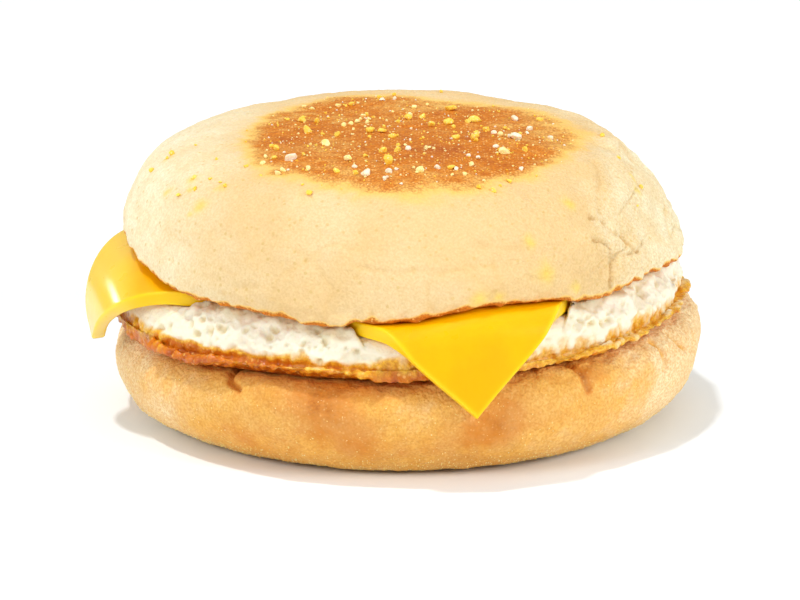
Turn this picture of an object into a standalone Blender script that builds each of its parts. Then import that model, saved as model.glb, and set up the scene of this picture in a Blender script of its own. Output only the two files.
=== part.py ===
"""An English muffin sandwich: muffin crown with grits, cheese slice, ring-fried egg and muffin heel.

Metres, +Z up. The origin is the centre of the heel's flat underside, and the front is -Y.
Angles turn from +X towards +Y, so the left is at 180 degrees and the front at 270.
"""

import itertools
import math

import bmesh
import bpy
import numpy as np
from mathutils import Matrix, Vector

MM = 0.001
GAP = 0.3 * MM  # left between pieces that rest on each other

# The heel: a flat underside, a side that is widest at the waist, and a rounded shoulder.
HEEL_RADIUS = 49.0 * MM
HEEL_FLAT_RADIUS = 37.0 * MM
HEEL_WAIST = 11.5 * MM
HEEL_HEIGHT = 16.2 * MM
HEEL_SHOULDER = 5.0 * MM
HEEL_SHIFT = 0.8 * MM  # it lies a little to the right under the rest
HEEL_SLOPE = 0.034  # its upper face climbs towards the right
HEEL_RIGHT_RISE = 1.0 * MM

# The egg: a disc with a crisp lip at its foot and a swollen upper edge.
EGG_RADIUS = 46.6 * MM
EGG_SHIFT = -0.6 * MM
EGG_LIP = 1.6 * MM
EGG_BASE = HEEL_HEIGHT + GAP
EGG_THICKNESS = 6.9 * MM
EGG_SWELLS = (0.7 * MM, 1.4 * MM, 1.2 * MM)  # its upper edge, further in, and more of it at the right
EGG_CURL = 1.2 * MM
EGG_LIFT = 0.85  # the share of the slice's rise that the egg fills
EGG_HELD_RADIUS = 47.2 * MM  # where a corner of the slice hangs over it

# The cheese: a square slice, laid askew, with three corners that hang out and one kept inside.
SLICE_SIDE = 85.0 * MM
SLICE_THICKNESS = 2.3 * MM
SLICE_CENTRE = (-0.3 * MM, -1.3 * MM)
SLICE_TURN = math.radians(14.0)
SLICE_PINCH = 0.14  # how much its sides curve in
SLICE_PINCH_POWER = 6.0
SLICE_CORNER_INSIDE = 41.0 * MM
SLICE_TRIM_FROM = 30.0 * MM
SLICE_RISES = (3.3 * MM, 2.1 * MM)  # under the crown's left edge and at its front right
SLICE_BENDS = (
    (286.1, 44.0 * MM, 4.4 * MM, 77.7, 1.02),
    (197.3, 41.7 * MM, 10.4 * MM, 93.8, 1.03),
    (104.0, 45.0 * MM, 6.5 * MM, 74, 1.0),
)  # of the corners that hang out: direction in degrees, start, radius, how far it turns and how far it stretches
SLICE_BASE = EGG_BASE + EGG_THICKNESS + GAP

# The crown: a flat-topped dome over an uneven rim.
CROWN_RADIUS = 46.7 * MM
CROWN_BASE = SLICE_BASE + SLICE_THICKNESS + GAP
CROWN_TOP = 47.2 * MM
CROWN_LEAN = -1.3 * MM  # of its top, to the left
CROWN_SLIM = 1.2 * MM  # how much its right side is drawn in
CROWN_SQUARENESS = (6.4, 1.8)  # of the dome's radius and of its height
CROWN_LIP = 1.2 * MM
CROWN_RIM_HEIGHTS = (
    (0, 26.9), (30, 27.2), (60, 26.9), (90, 27.6), (125, 28.0), (155, 29.4), (178, 30.2), (197, 29.8),
    (204, 28.6), (211, 27.5), (221, 26.4), (240, 26.3), (247, 26.0), (251, 25.2), (256, 24.8), (260, 25.6),
    (264, 26.4), (276, 26.0), (284, 27.5), (300, 27.9), (309, 26.9), (316, 26.9), (322, 28.1), (336, 28.1),
    (347, 26.9),
)  # fmt: skip

GRITS = (
    (-5.6, -5.5, 0.89), (-3.5, -6.0, 0.81), (-16.7, 3.9, 0.89), (-14.7, 3.9, 0.89), (3.2, 5.7, 0.89),
    (-2.4, -26.4, 1.2), (-10.9, -6.6, 0.89), (11.4, -9.3, 0.89), (7.9, 10.7, 1.14), (-15.5, -3.6, 1.2),
    (-20.2, -16.3, 0.81), (-1.0, -20.3, 0.81), (5.0, 0.7, 0.81), (7.6, -27.1, 0.81), (11.9, 3.9, 1.06),
    (8.7, -8.7, 0.81), (-3.2, -20.3, 0.89), (13.7, -2.6, 0.81), (7.5, 1.9, 0.89), (-20.6, -21.4, 0.64),
    (-8.7, 15.1, 0.72), (0.8, 5.1, 0.89), (-10.5, -29.7, 0.64), (-13.3, -5.7, 0.55), (-1.8, -9.5, 0.72),
    (-3.9, 18.5, 0.64), (23.1, 4.8, 0.64), (19.9, -14.8, 0.72), (17.1, -0.9, 0.55), (-6.2, 8.0, 0.55),
    (-14.8, -35.1, 0.72), (14.3, -33.2, 0.64), (35.3, -8.5, 0.5), (-33.8, -21.8, 0.55), (-38.5, -9.6, 0.5),
    (-33.3, -24.5, 0.5), (-28.5, -27.2, 0.5), (38.7, -12.6, 0.5), (6.4, 25.6, 0.5), (16.3, -16.9, 1.06),
    (-8.8, 0.9, 0.64), (-7.5, 2.5, 0.64), (-12.5, -13.9, 0.97), (2.8, -30.1, 0.81), (-8.8, -24.5, 0.89),
    (3.7, -17.0, 0.55), (-22.3, -23.1, 0.55), (16.2, -7.7, 0.72), (11.1, -25.3, 0.64), (-11.0, 14.8, 0.55),
    (2.0, 12.1, 0.64), (-15.3, -27.9, 0.72), (-16.5, 15.2, 0.5), (9.7, -29.2, 0.5), (18.6, -9.4, 1.2),
    (18.7, 4.8, 0.89), (-18.3, -22.6, 1.2), (-5.7, -31.2, 0.97), (-2.2, -31.2, 0.72), (24.2, -6.4, 0.64),
    (20.7, -2.0, 0.64), (5.4, -27.7, 0.64), (-1.5, 17.6, 0.5), (0.6, -18.9, 0.64), (12.2, -21.6, 0.55),
)  # fmt: skip # the largest: x, y and half of the length, in mm
GRIT_PROUD = 0.38  # how far a grit's middle stands out, in half lengths
GRIT_SUNK = 0.15 * MM  # and how much every one of them is pressed in
GRIT_SEED = 11

CROWN_STEPS, CROWN_RINGS = 68, 23
HEEL_STEPS, HEEL_RINGS = 72, 15
EGG_STEPS, EGG_RINGS = 92, 17
SLICE_CELLS = 24

COLOURS = {
    "crown": ((0.86, 0.66, 0.38, 1), 0.85),
    "cheese": ((0.95, 0.56, 0.02, 1), 0.35),
    "egg": ((0.92, 0.84, 0.66, 1), 0.5),
    "heel": ((0.78, 0.47, 0.17, 1), 0.85),
}  # base colour and roughness of each piece


def smooth_step(value, low, high):
    """0 below low, 1 above high, and a smooth S between."""
    share = np.clip((value - low) / (high - low), 0, 1)
    return share * share * (3 - 2 * share)


def lattice_value(cell, seed):
    """A fixed pseudo-random number from -1 to 1 for each whole-number cell."""
    number = cell[..., 0] * 374761393 + cell[..., 1] * 668265263 + cell[..., 2] * 1442695041 + seed * 974634777
    number = (number ^ (number >> 13)) * 1274126177 & 0xFFFFFFFF
    return ((number ^ (number >> 16)) & 0xFFFF) / 32767.5 - 1


def soft_noise(points, size, seed):
    """Smooth lumps about size across, from -1 to 1, at an array of points."""
    scaled = points / size
    cell = np.floor(scaled).astype(np.int64)
    share = scaled - cell
    share = share * share * (3 - 2 * share)
    total = 0
    for corner in itertools.product((0, 1), repeat=3):
        weight = np.where(corner, share, 1 - share).prod(axis=-1)
        total = total + weight * lattice_value(cell + corner, seed)
    return total


def around(heights, angle):
    """Heights given in mm at some degrees, read at an angle, with the corners between them rounded off."""
    degrees, values = zip(*heights)
    turn = np.degrees(angle)[..., None] + np.linspace(-5, 5, 7)
    return MM * np.interp(turn, degrees, values, period=360).mean(axis=-1)


def evenly(outline, count):
    """The outline's points spaced out to count of them at even distances."""
    outline = np.array(outline)
    along = np.concatenate([[0], np.cumsum(np.hypot(*np.diff(outline, axis=0).T))])
    wanted = np.linspace(0, along[-1], count)
    return np.stack([np.interp(wanted, along, column) for column in outline.T], axis=-1)


def arc(centre, half_width, half_height, start, end, power=(2.0, 2.0), points=60):
    """Part of a squared-off ellipse from angle start to end, in degrees, as (radius, height) points."""
    turn = np.radians(np.linspace(start, end, points))
    cosine, sine = np.cos(turn), np.sin(turn)
    radius = centre[0] + half_width * np.sign(cosine) * np.abs(cosine) ** (2 / power[0])
    height = centre[1] + half_height * np.sign(sine) * np.abs(sine) ** (2 / power[1])
    return list(zip(radius, height))


def outward(profile):
    """The unit normal at each point of a profile that runs from the underside to the top."""
    step = np.gradient(profile, axis=0)
    normal = np.stack([step[:, 1], -step[:, 0]], axis=-1)
    return normal / np.linalg.norm(normal, axis=1, keepdims=True)


def turned(profile, steps, shape):
    """Points of a profile carried round the axis: shape() moves its radii and heights at each angle."""
    angle = (np.arange(steps) * math.tau / steps)[:, None]
    radius, height = shape(profile, angle)
    return np.stack([radius * np.cos(angle), radius * np.sin(angle), height], axis=-1)


def in_space(radius, height, angle):
    """Cylinder coordinates as points."""
    return np.stack(np.broadcast_arrays(radius * np.cos(angle), radius * np.sin(angle), height), axis=-1)


def new_object(name, mesh, collection=None):
    """A named object from a bmesh, with its faces pointing out, shaded smooth."""
    bmesh.ops.recalc_face_normals(mesh, faces=mesh.faces)
    data = bpy.data.meshes.new(name)
    mesh.to_mesh(data)
    mesh.free()
    data.shade_smooth()
    made = bpy.data.objects.new(name, data)
    (collection or bpy.context.scene.collection).objects.link(made)
    return made


def paint(piece):
    """Gives a piece its own material."""
    colour, roughness = COLOURS[piece.name]
    material = bpy.data.materials.new(piece.name)
    material.use_nodes = True
    shader = material.node_tree.nodes["Principled BSDF"]
    shader.inputs["Base Color"].default_value = colour
    shader.inputs["Roughness"].default_value = roughness
    piece.data.materials.append(material)


def solid_of_rings(name, rings):
    """A closed solid from points[angle][ring], with the first and the last ring closed by a flat fan."""
    mesh = bmesh.new()
    grid = [[mesh.verts.new(point) for point in line] for line in rings]
    ends = [mesh.verts.new(rings[:, end].mean(axis=0)) for end in (0, -1)]
    for here, there in zip(grid, grid[1:] + grid[:1]):
        for a, b, c, d in zip(here, there, there[1:], here[1:]):
            mesh.faces.new((a, b, c, d))
        mesh.faces.new((ends[0], there[0], here[0]))
        mesh.faces.new((ends[1], here[-1], there[-1]))
    return new_object(name, mesh)


def heel_face_rise(x):
    """How much higher the heel's upper face is at x than at the middle."""
    return HEEL_SLOPE * x + HEEL_RIGHT_RISE * smooth_step(x, 28 * MM, 48 * MM)


def heel_profile(count):
    """Underside, side and shoulder of the heel, from near the axis and back to it."""
    side = arc((HEEL_FLAT_RADIUS, HEEL_WAIST), HEEL_RADIUS - HEEL_FLAT_RADIUS, HEEL_WAIST, -90, 0)
    shoulder = arc((HEEL_RADIUS - HEEL_SHOULDER, HEEL_WAIST), HEEL_SHOULDER, HEEL_HEIGHT - HEEL_WAIST, 0, 90)
    skin = evenly(side + shoulder[1:], count - 2)
    return np.array([(HEEL_FLAT_RADIUS * 0.5, 0), *skin, (HEEL_RADIUS * 0.5, HEEL_HEIGHT)])


def heel_shape(profile, angle):
    """The heel pressed out of round, with lumps on its side."""
    radius, height = profile.T
    normal = outward(profile)
    point = in_space(radius, height, angle)
    loose = smooth_step(height, 0, 4 * MM) * smooth_step(radius, 40 * MM, 46 * MM)
    relief = 0.7 * MM * soft_noise(point, 19 * MM, 3) + 0.35 * MM * soft_noise(point, 7 * MM, 4)
    face = smooth_step(height, HEEL_HEIGHT - 2 * MM, HEEL_HEIGHT)
    return radius + normal[:, 0] * relief * loose, height + normal[:, 1] * relief * loose * (1 - face)


def make_heel():
    """The lower muffin half, with its upper face on a slope."""
    points = turned(heel_profile(HEEL_RINGS), HEEL_STEPS, heel_shape)
    share = smooth_step(points[..., 2], HEEL_WAIST * 0.3, HEEL_HEIGHT)
    points[..., 0] += HEEL_SHIFT * smooth_step(points[..., 2], 0, HEEL_WAIST)
    points[..., 2] += heel_face_rise(points[..., 0]) * share
    return solid_of_rings("heel", points)


def in_slice(x, y):
    """How far along the slice's two sides a place is, from the slice's centre."""
    x, y = x - SLICE_CENTRE[0], y - SLICE_CENTRE[1]
    cosine, sine = math.cos(SLICE_TURN + math.pi / 4), math.sin(SLICE_TURN + math.pi / 4)
    return x * cosine + y * sine, y * cosine - x * sine


def pinch(share):
    """How far a side of the slice is drawn in: most at its middle, where share is 0, and nothing at its ends."""
    return SLICE_PINCH * (1 - np.clip(share, -1, 1) ** 2) ** SLICE_PINCH_POWER


def to_right_corner(x, y):
    """How far a place is from the origin, measured towards the slice's right corner."""
    return x * math.cos(SLICE_TURN) + y * math.sin(SLICE_TURN)


def beyond_slice(x, y):
    """How far outside the slice a place is. It is negative under the slice."""
    half = SLICE_SIDE / 2
    along, across = in_slice(x, y)
    narrow = 1 - pinch(across / half)
    short = 1 - pinch(along / half)
    outside = np.maximum(np.abs(along) - half * narrow, np.abs(across) - half * short)
    trimmed = np.where(to_right_corner(x, y) > SLICE_TRIM_FROM, np.hypot(x, y) - SLICE_CORNER_INSIDE, -half)
    return np.maximum(outside, trimmed)


def slice_height(x, y):
    """How much the slice, and the crown over it, is raised at the left and at the front right."""
    within = np.minimum(1, 44 * MM / np.maximum(np.hypot(x, y), MM))
    x, y = x * within, y * within
    left = smooth_step(-x, 24 * MM, 44 * MM) * smooth_step(-y, -30 * MM, -14 * MM) * smooth_step(y, -30 * MM, -10 * MM)
    front = smooth_step(-y, 24 * MM, 42 * MM) * smooth_step(x, -2 * MM, 14 * MM)
    return SLICE_RISES[0] * left + SLICE_RISES[1] * front


def crown_underside(radius, angle):
    """The height of the crown's underside. It rests on the slice, and beside the slice it falls to the rim."""
    x, y = radius * np.cos(angle), radius * np.sin(angle)
    rim = around(CROWN_RIM_HEIGHTS, angle) - CROWN_BASE
    resting = np.maximum(rim.clip(0) * smooth_step(radius, 37 * MM, 45.5 * MM), slice_height(x, y))
    beside = smooth_step(beyond_slice(x, y), 0.6 * MM, 2.2 * MM) * smooth_step(radius, 42.5 * MM, 45.5 * MM)
    return CROWN_BASE + resting + beside * (rim - resting)


def egg_profile(count):
    """Underside, crisp lip, side and upper edge of the egg."""
    lip = arc((EGG_RADIUS, EGG_BASE + 1.5 * MM), EGG_LIP, 0.9 * MM, -90, 50)
    top = EGG_BASE + EGG_THICKNESS
    side = arc((EGG_RADIUS - 3.2 * MM, top - 3.6 * MM), 3.2 * MM, 3.6 * MM, -25, 90, power=(2.6, 2.0))
    skin = evenly([(EGG_RADIUS - 4 * MM, EGG_BASE), *lip, *side, (EGG_RADIUS - 9 * MM, top)], count - 2)
    return np.array([(EGG_RADIUS * 0.5, EGG_BASE), *skin, (EGG_RADIUS * 0.5, top)])


def egg_shape(profile, angle):
    """The egg's lumps: an uneven outline, a ragged lip that curls up, and a swollen edge beside the slice."""
    radius, height = profile.T
    normal = outward(profile)
    point = in_space(radius, height, angle)
    free = smooth_step(radius, 41 * MM, 45 * MM)
    ragged = 0.6 * MM * soft_noise(point, 8 * MM, 7) + 0.3 * MM * soft_noise(point, 4 * MM, 8)
    outline = 0.5 * MM * soft_noise(in_space(EGG_RADIUS, 0, angle), 24 * MM, 9)
    wide = radius + (normal[:, 0] * ragged + outline) * free
    beyond = beyond_slice(wide * np.cos(angle), wide * np.sin(angle))
    under = 1 - smooth_step(beyond, 0.2 * MM, 2.5 * MM)
    wide = np.minimum(wide, EGG_HELD_RADIUS + 4 * MM * (1 - under))
    clear = smooth_step(beyond, 1.7 * MM, 3.4 * MM) * smooth_step(radius, 38.5 * MM, 41 * MM)
    upper = smooth_step(height, EGG_BASE + 3 * MM, EGG_BASE + 0.8 * EGG_THICKNESS)
    inner = 1 - smooth_step(radius, 42.5 * MM, 46 * MM)
    right = smooth_step(np.cos(angle - math.radians(335)), 0.75, 0.93)
    swell = EGG_SWELLS[0] + (EGG_SWELLS[1] + EGG_SWELLS[2] * right) * inner
    swell = (swell + 0.6 * MM * soft_noise(point, 6 * MM, 10)) * clear * upper
    lifted = EGG_LIFT * slice_height(wide * np.cos(angle), wide * np.sin(angle))
    swell = swell + lifted * upper * smooth_step(radius, 38.5 * MM, 43 * MM)
    settled = smooth_step(height, EGG_BASE, EGG_BASE + 2 * MM)
    rise = normal[:, 1] * ragged * free * settled * (1 - upper * (1 - clear))
    curl = EGG_CURL * smooth_step(np.cos(angle - math.radians(247)), 0.93, 0.985)
    curl = curl * smooth_step(radius, 43.5 * MM, 47 * MM) * (1 - smooth_step(height, EGG_BASE, EGG_BASE + 5 * MM))
    ceiling = crown_underside(wide, angle) - 2 * GAP
    return wide, np.minimum(height + rise + swell + curl, np.where(clear > 0, ceiling, CROWN_TOP))


def make_egg():
    """The egg, fried in a ring, between the heel and the cheese. Its underside lies on the heel's slope."""
    points = turned(egg_profile(EGG_RINGS), EGG_STEPS, egg_shape)
    points[..., 0] += EGG_SHIFT * (1 - smooth_step(points[..., 2], EGG_BASE + 3 * MM, EGG_BASE + EGG_THICKNESS))
    share = ((EGG_BASE + EGG_THICKNESS - points[..., 2]) / EGG_THICKNESS).clip(0, 1)
    points[..., 2] += heel_face_rise(points[..., 0]) * share
    return solid_of_rings("egg", points)


def corner_bend(points, direction, start, bend_radius, bend_angle, stretch):
    """Bends what lies past a straight line down round a cylinder. direction and bend_angle are in degrees."""
    way = np.array([math.cos(math.radians(direction)), math.sin(math.radians(direction))])
    reach = points[..., :2] @ way
    above = points[..., 2] - (SLICE_BASE + SLICE_THICKNESS / 2)
    past = (reach - start).clip(0)
    turn = np.minimum(past * stretch / bend_radius, math.radians(bend_angle))
    straight = past * stretch - bend_radius * turn
    shift = (bend_radius + above) * np.sin(turn) + straight * np.cos(turn) - past
    drop = (bend_radius + above) * (1 - np.cos(turn)) + straight * np.sin(turn)
    bent = points.copy()
    bent[..., :2] += shift[..., None] * way
    bent[..., 2] -= drop
    return bent


def slice_points(along, across, above):
    """The slice's points after it has been laid down, from its own flat coordinates."""
    half = SLICE_SIDE / 2
    narrow = 1 - pinch(across / half)
    short = 1 - pinch(along / half)
    along, across = along * narrow, across * short
    cosine, sine = math.cos(SLICE_TURN + math.pi / 4), math.sin(SLICE_TURN + math.pi / 4)
    x = SLICE_CENTRE[0] + along * cosine - across * sine
    y = SLICE_CENTRE[1] + along * sine + across * cosine
    distance = np.hypot(x, y)
    kept = np.where(to_right_corner(x, y) > SLICE_TRIM_FROM, SLICE_CORNER_INSIDE, np.inf)
    pulled = np.minimum(1, kept / distance)
    x, y = x * pulled, y * pulled
    points = np.stack([x, y, np.full_like(x, SLICE_BASE + SLICE_THICKNESS / 2 + above)], axis=-1)
    rise = slice_height(x, y)
    for bend in SLICE_BENDS:
        points = corner_bend(points, *bend)
    points[..., 2] += rise
    return points


def make_cheese():
    """The slice: an upper and a lower grid joined by walls at the edges."""
    place = np.linspace(-SLICE_SIDE / 2, SLICE_SIDE / 2, SLICE_CELLS + 1)
    along, across = np.meshgrid(place, place, indexing="ij")
    mesh = bmesh.new()
    sheets = []
    for above in (-SLICE_THICKNESS / 2, SLICE_THICKNESS / 2):
        points = slice_points(along, across, above)
        sheets.append([[mesh.verts.new(point) for point in line] for line in points])
    for sheet in sheets:
        for here, there in zip(sheet, sheet[1:]):
            for a, b, c, d in zip(here, there, there[1:], here[1:]):
                mesh.faces.new((a, b, c, d))
    low, high = sheets
    for edge in (
        [(low[0][i], high[0][i]) for i in range(SLICE_CELLS + 1)],
        [(low[-1][i], high[-1][i]) for i in range(SLICE_CELLS + 1)],
        [(low[i][0], high[i][0]) for i in range(SLICE_CELLS + 1)],
        [(low[i][-1], high[i][-1]) for i in range(SLICE_CELLS + 1)],
    ):
        for (a, b), (c, d) in zip(edge, edge[1:]):
            mesh.faces.new((a, b, d, c))
    return new_object("cheese", mesh)


def crown_profile(count):
    """Underside, lip, side and top of the crown."""
    lip = arc((CROWN_RADIUS - CROWN_LIP, CROWN_BASE + CROWN_LIP), CROWN_LIP, CROWN_LIP, -90, 0)
    start = CROWN_BASE + CROWN_LIP
    dome = arc((0, start), CROWN_RADIUS, CROWN_TOP - start, 0, 89.9, power=CROWN_SQUARENESS, points=400)
    skin = evenly([(CROWN_RADIUS - 14 * MM, CROWN_BASE), *lip, *dome[1:]], count)
    return np.array([(CROWN_RADIUS * 0.5, CROWN_BASE), *skin[:-1]])


def crown_shape(profile, angle):
    """The crown's lumps, its folds at the right, and its rim, which is higher at some sides than others."""
    radius, height = profile.T
    normal = outward(profile)
    point = in_space(radius, height, angle)
    outside = smooth_step(height, CROWN_BASE + 0.2 * MM, CROWN_BASE + 3 * MM)
    relief = 0.6 * MM * soft_noise(point, 23 * MM, 15) + 0.35 * MM * soft_noise(point, 9 * MM, 16)
    to_right = smooth_step(np.cos(angle - math.radians(335)), 0.75, 0.95)
    relief = relief + 0.5 * MM * soft_noise(point, 6 * MM, 17) * to_right
    near_rim = 1 - smooth_step(height, CROWN_BASE + CROWN_LIP, CROWN_BASE + 12 * MM)
    raised = (crown_underside(radius, angle) - CROWN_BASE) * near_rim
    slim = smooth_step(np.cos(angle), 0.5, 0.95) * smooth_step(height, CROWN_BASE + 2 * MM, CROWN_BASE + 6 * MM)
    slim = CROWN_SLIM * slim * (1 - smooth_step(height, CROWN_TOP - 5 * MM, CROWN_TOP - 2 * MM))
    return radius + normal[:, 0] * relief * outside - slim, height + normal[:, 1] * relief * outside + raised


def lean(points):
    """The crown's points moved sideways, more towards its top."""
    points[..., 0] += CROWN_LEAN * smooth_step(points[..., 2], CROWN_BASE + 3 * MM, CROWN_TOP)
    return points


def crown_place(radius, angle):
    """The point and the outward normal of the crown's top or side above a place at that radius and angle."""
    profile = crown_profile(300)[60:]
    line = turned(profile, 1, lambda shape, _: crown_shape(shape, np.array([[angle]])))[0]
    flat = np.hypot(line[:, 0], line[:, 1])
    index = len(flat) - 2 - int(np.argmax(flat[::-1][1:] >= radius))
    step = np.gradient(profile, axis=0)[index]
    out = Vector((step[1], -step[0])).normalized()
    turn = Matrix.Rotation(angle, 3, "Z")
    place = lean(np.array(turn @ Vector((flat[index], 0, line[index, 2]))))
    return Vector(place), turn @ Vector((out.x, 0, out.y))


def add_grit(collection, index, grit, draw):
    """One crumb of coarse cornmeal, sunk in the crown by about a third."""
    x, y, half = (length * MM for length in grit)
    place, normal = crown_place(math.hypot(x, y), math.atan2(y, x))
    middle = place + normal * (half * GRIT_PROUD - GRIT_SUNK)
    stretch = Matrix.Diagonal((1.0, draw.uniform(0.55, 0.9), draw.uniform(0.6, 0.85)))
    turn = normal.to_track_quat("Z", "Y").to_matrix() @ Matrix.Rotation(draw.uniform(0, math.tau), 3, "Z")
    mesh = bmesh.new()
    bmesh.ops.create_icosphere(mesh, subdivisions=1, radius=half)
    for vert in mesh.verts:
        vert.co = middle + turn @ (stretch @ (vert.co * draw.uniform(0.75, 1.1)))
    return new_object(f"grit_{index}", mesh, collection)


def add_grits(crown):
    """Fuses the grits to the crown: most on the browned top, a few on its flanks."""
    draw = np.random.default_rng(GRIT_SEED)
    loose = bpy.data.collections.new("grits")
    bpy.context.scene.collection.children.link(loose)
    for index, grit in enumerate(GRITS):
        add_grit(loose, index, grit, draw)
    union = crown.modifiers.new("grits", "BOOLEAN")
    union.operation = "UNION"
    union.operand_type = "COLLECTION"
    union.collection = loose
    union.solver = "EXACT"
    bpy.context.view_layer.update()
    fused = bpy.data.meshes.new_from_object(crown.evaluated_get(bpy.context.evaluated_depsgraph_get()))
    crown.modifiers.clear()
    crown.data = fused
    crown.data.name = "crown"
    for grit in list(loose.objects):
        bpy.data.objects.remove(grit)
    bpy.data.collections.remove(loose)


def make_crown():
    """The upper muffin half with its grits."""
    crown = solid_of_rings("crown", lean(turned(crown_profile(CROWN_RINGS), CROWN_STEPS, crown_shape)))
    add_grits(crown)
    return crown


def main():
    for leftover in list(bpy.data.objects):
        bpy.data.objects.remove(leftover)
    for piece in (make_heel(), make_egg(), make_cheese(), make_crown()):
        paint(piece)


main()
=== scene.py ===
# An english muffin sandwich: crown with grits, cheese slice, ring-fried egg and heel.
# Shapes are worked out in mm, +Z up and the front towards -Y, and become metres in the meshes.
# Angles turn from +X towards +Y, so the left is at 180 degrees and the front at 270.
import itertools
import math

import bmesh
import bpy
import numpy as np
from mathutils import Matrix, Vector


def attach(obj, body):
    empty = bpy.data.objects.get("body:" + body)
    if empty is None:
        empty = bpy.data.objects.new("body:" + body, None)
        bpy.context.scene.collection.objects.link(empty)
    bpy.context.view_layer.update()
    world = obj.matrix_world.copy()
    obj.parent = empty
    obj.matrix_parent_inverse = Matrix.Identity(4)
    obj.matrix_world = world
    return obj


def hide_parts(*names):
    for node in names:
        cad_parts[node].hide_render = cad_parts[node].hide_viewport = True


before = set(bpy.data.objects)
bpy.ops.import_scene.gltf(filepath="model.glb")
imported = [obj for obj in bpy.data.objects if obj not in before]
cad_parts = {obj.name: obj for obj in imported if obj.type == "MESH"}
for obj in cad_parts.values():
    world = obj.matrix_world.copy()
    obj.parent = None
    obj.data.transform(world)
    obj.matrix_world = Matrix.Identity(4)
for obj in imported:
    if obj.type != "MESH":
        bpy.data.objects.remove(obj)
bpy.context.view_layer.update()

mm = 0.001
gap = 0.3  # between pieces that rest on each other


# 0 below low, 1 above high, and 3t^2 - 2t^3 of the share t between
def smoothStep(value, low, high):
    share = np.clip((value - low) / (high - low), 0, 1)
    return share * share * (3 - 2 * share)


# the first where the share is 0 and the second where it is 1: first * (1 - share) + second * share
def blended(first, second, share):
    return first * (1 - share) + second * share


# 1 at a place, fading to 0 past its half sizes: exp(-(aside / wide)^2 - (above / tall)^2)
def fading(aside, above, wide, tall):
    return np.exp(-((aside / wide) ** 2) - (above / tall) ** 2)


# 1 for angles near a direction in degrees and 0 away from it: a smooth step of the cosine between them
def facing(angle, degrees, low, high):
    return smoothStep(np.cos(angle - math.radians(degrees)), low, high)


# a fixed pseudo-random number from -1 to 1 for each whole-number cell: its hashed coordinates
def latticeValue(cell, seed):
    number = cell[..., 0] * 374761393 + cell[..., 1] * 668265263 + cell[..., 2] * 1442695041 + seed * 974634777
    number = (number ^ (number >> 13)) * 1274126177 & 0xFFFFFFFF
    return ((number ^ (number >> 16)) & 0xFFFF) / 32767.5 - 1


# smooth lumps about size across: lattice values blended over the eight corners of each point's cell
def softNoise(points, size, seed):
    scaled = points / size
    cell = np.floor(scaled).astype(np.int64)
    share = smoothStep(scaled - cell, 0, 1)
    total = 0
    for corner in itertools.product((0, 1), repeat=3):
        weight = np.where(corner, share, 1 - share).prod(axis=-1)
        total = total + weight * latticeValue(cell + corner, seed)
    return total


# soft noises added up, each given as (amount, size, seed)
def lumpy(points, *noises):
    total = 0
    for amount, size, seed in noises:
        total = total + amount * softNoise(points, size, seed)
    return total


# soft noise plus the same at half the size and weight, and so on
def layeredNoise(points, size, seed, layers):
    return lumpy(points, *((0.5**layer, size / 2**layer, seed + 31 * layer) for layer in range(layers)))


# points moved by soft noise in x, y and z, so that a pattern read at them loses its straight lines
def wandering(points, size, amount, seed):
    moves = [softNoise(points, size, seed + step) for step in (0, 1, 2)]
    return points + amount * np.stack(moves, axis=-1)


# distance to the nearest of one scattered point per cell, in cells, and that point's own number from 0 to 1
def nearestCell(points, size, seed):
    scaled = points / size
    home = np.floor(scaled).astype(np.int64)
    best = np.full(points.shape[:-1], 9.0)
    number = np.zeros(points.shape[:-1])
    for step in itertools.product((-1, 0, 1), repeat=3):
        cell = home + step
        place = cell + 0.5 + 0.45 * np.stack([latticeValue(cell, seed + axis) for axis in (0, 1, 2)], axis=-1)
        distance = np.linalg.norm(scaled - place, axis=-1)
        nearer = distance < best
        best = np.where(nearer, distance, best)
        number = np.where(nearer, latticeValue(cell, seed + 7) / 2 + 0.5, number)
    return best, number


# round pits, 1 within the core and 0 past the edge of those scattered points whose number is over the rarity
def pittedBy(points, size, seed, core, edge, rarity):
    distance, number = nearestCell(points, size, seed)
    return (1 - smoothStep(distance, core, edge)) * (number > rarity)


# heights given at some degrees, read at each angle and averaged over the spread to either side
def around(heights, angle, spread=5):
    degrees, values = zip(*heights)
    turn = np.degrees(angle)[..., None] + np.linspace(-spread, spread, 7)
    return np.interp(turn, degrees, values, period=360).mean(axis=-1)


# distance from every point to a chain of points in space
def toChain(points, chain):
    best = np.full(points.shape[:-1], 1e9)
    for start, end in zip(chain, chain[1:]):
        way = end - start
        share = np.clip(((points - start) @ way) / (way @ way), 0, 1)
        best = np.minimum(best, np.linalg.norm(points - start - share[..., None] * way, axis=-1))
    return best


# an outline spaced out to count points, closer together where its density is higher
def spaced(outline, count, density):
    outline = np.array(outline, float)
    middle = (outline[1:] + outline[:-1]) / 2
    step = np.hypot(*np.diff(outline, axis=0).T) * density(middle[:, 0], middle[:, 1])
    along = np.concatenate([[0], np.cumsum(step)])
    wanted = np.linspace(0, along[-1], count)
    return np.stack([np.interp(wanted, along, column) for column in outline.T], axis=-1)


# part of a squared-off ellipse between two angles in degrees: centre + half size * |cos|, |sin| to the power 2/n
def arcPoints(centre, halfWidth, halfHeight, start, end, power=(2.0, 2.0), points=60):
    turn = np.radians(np.linspace(start, end, points))
    cosine, sine = np.cos(turn), np.sin(turn)
    radius = centre[0] + halfWidth * np.sign(cosine) * np.abs(cosine) ** (2 / power[0])
    height = centre[1] + halfHeight * np.sign(sine) * np.abs(sine) ** (2 / power[1])
    return list(zip(radius, height))


# unit normals of a profile that runs from the underside to the top: its tangent turned by a right angle
def outwardOf(profile):
    step = np.gradient(profile, axis=0)
    normal = np.stack([step[:, 1], -step[:, 0]], axis=-1)
    return normal / np.maximum(np.linalg.norm(normal, axis=1, keepdims=True), 1e-9)


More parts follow.
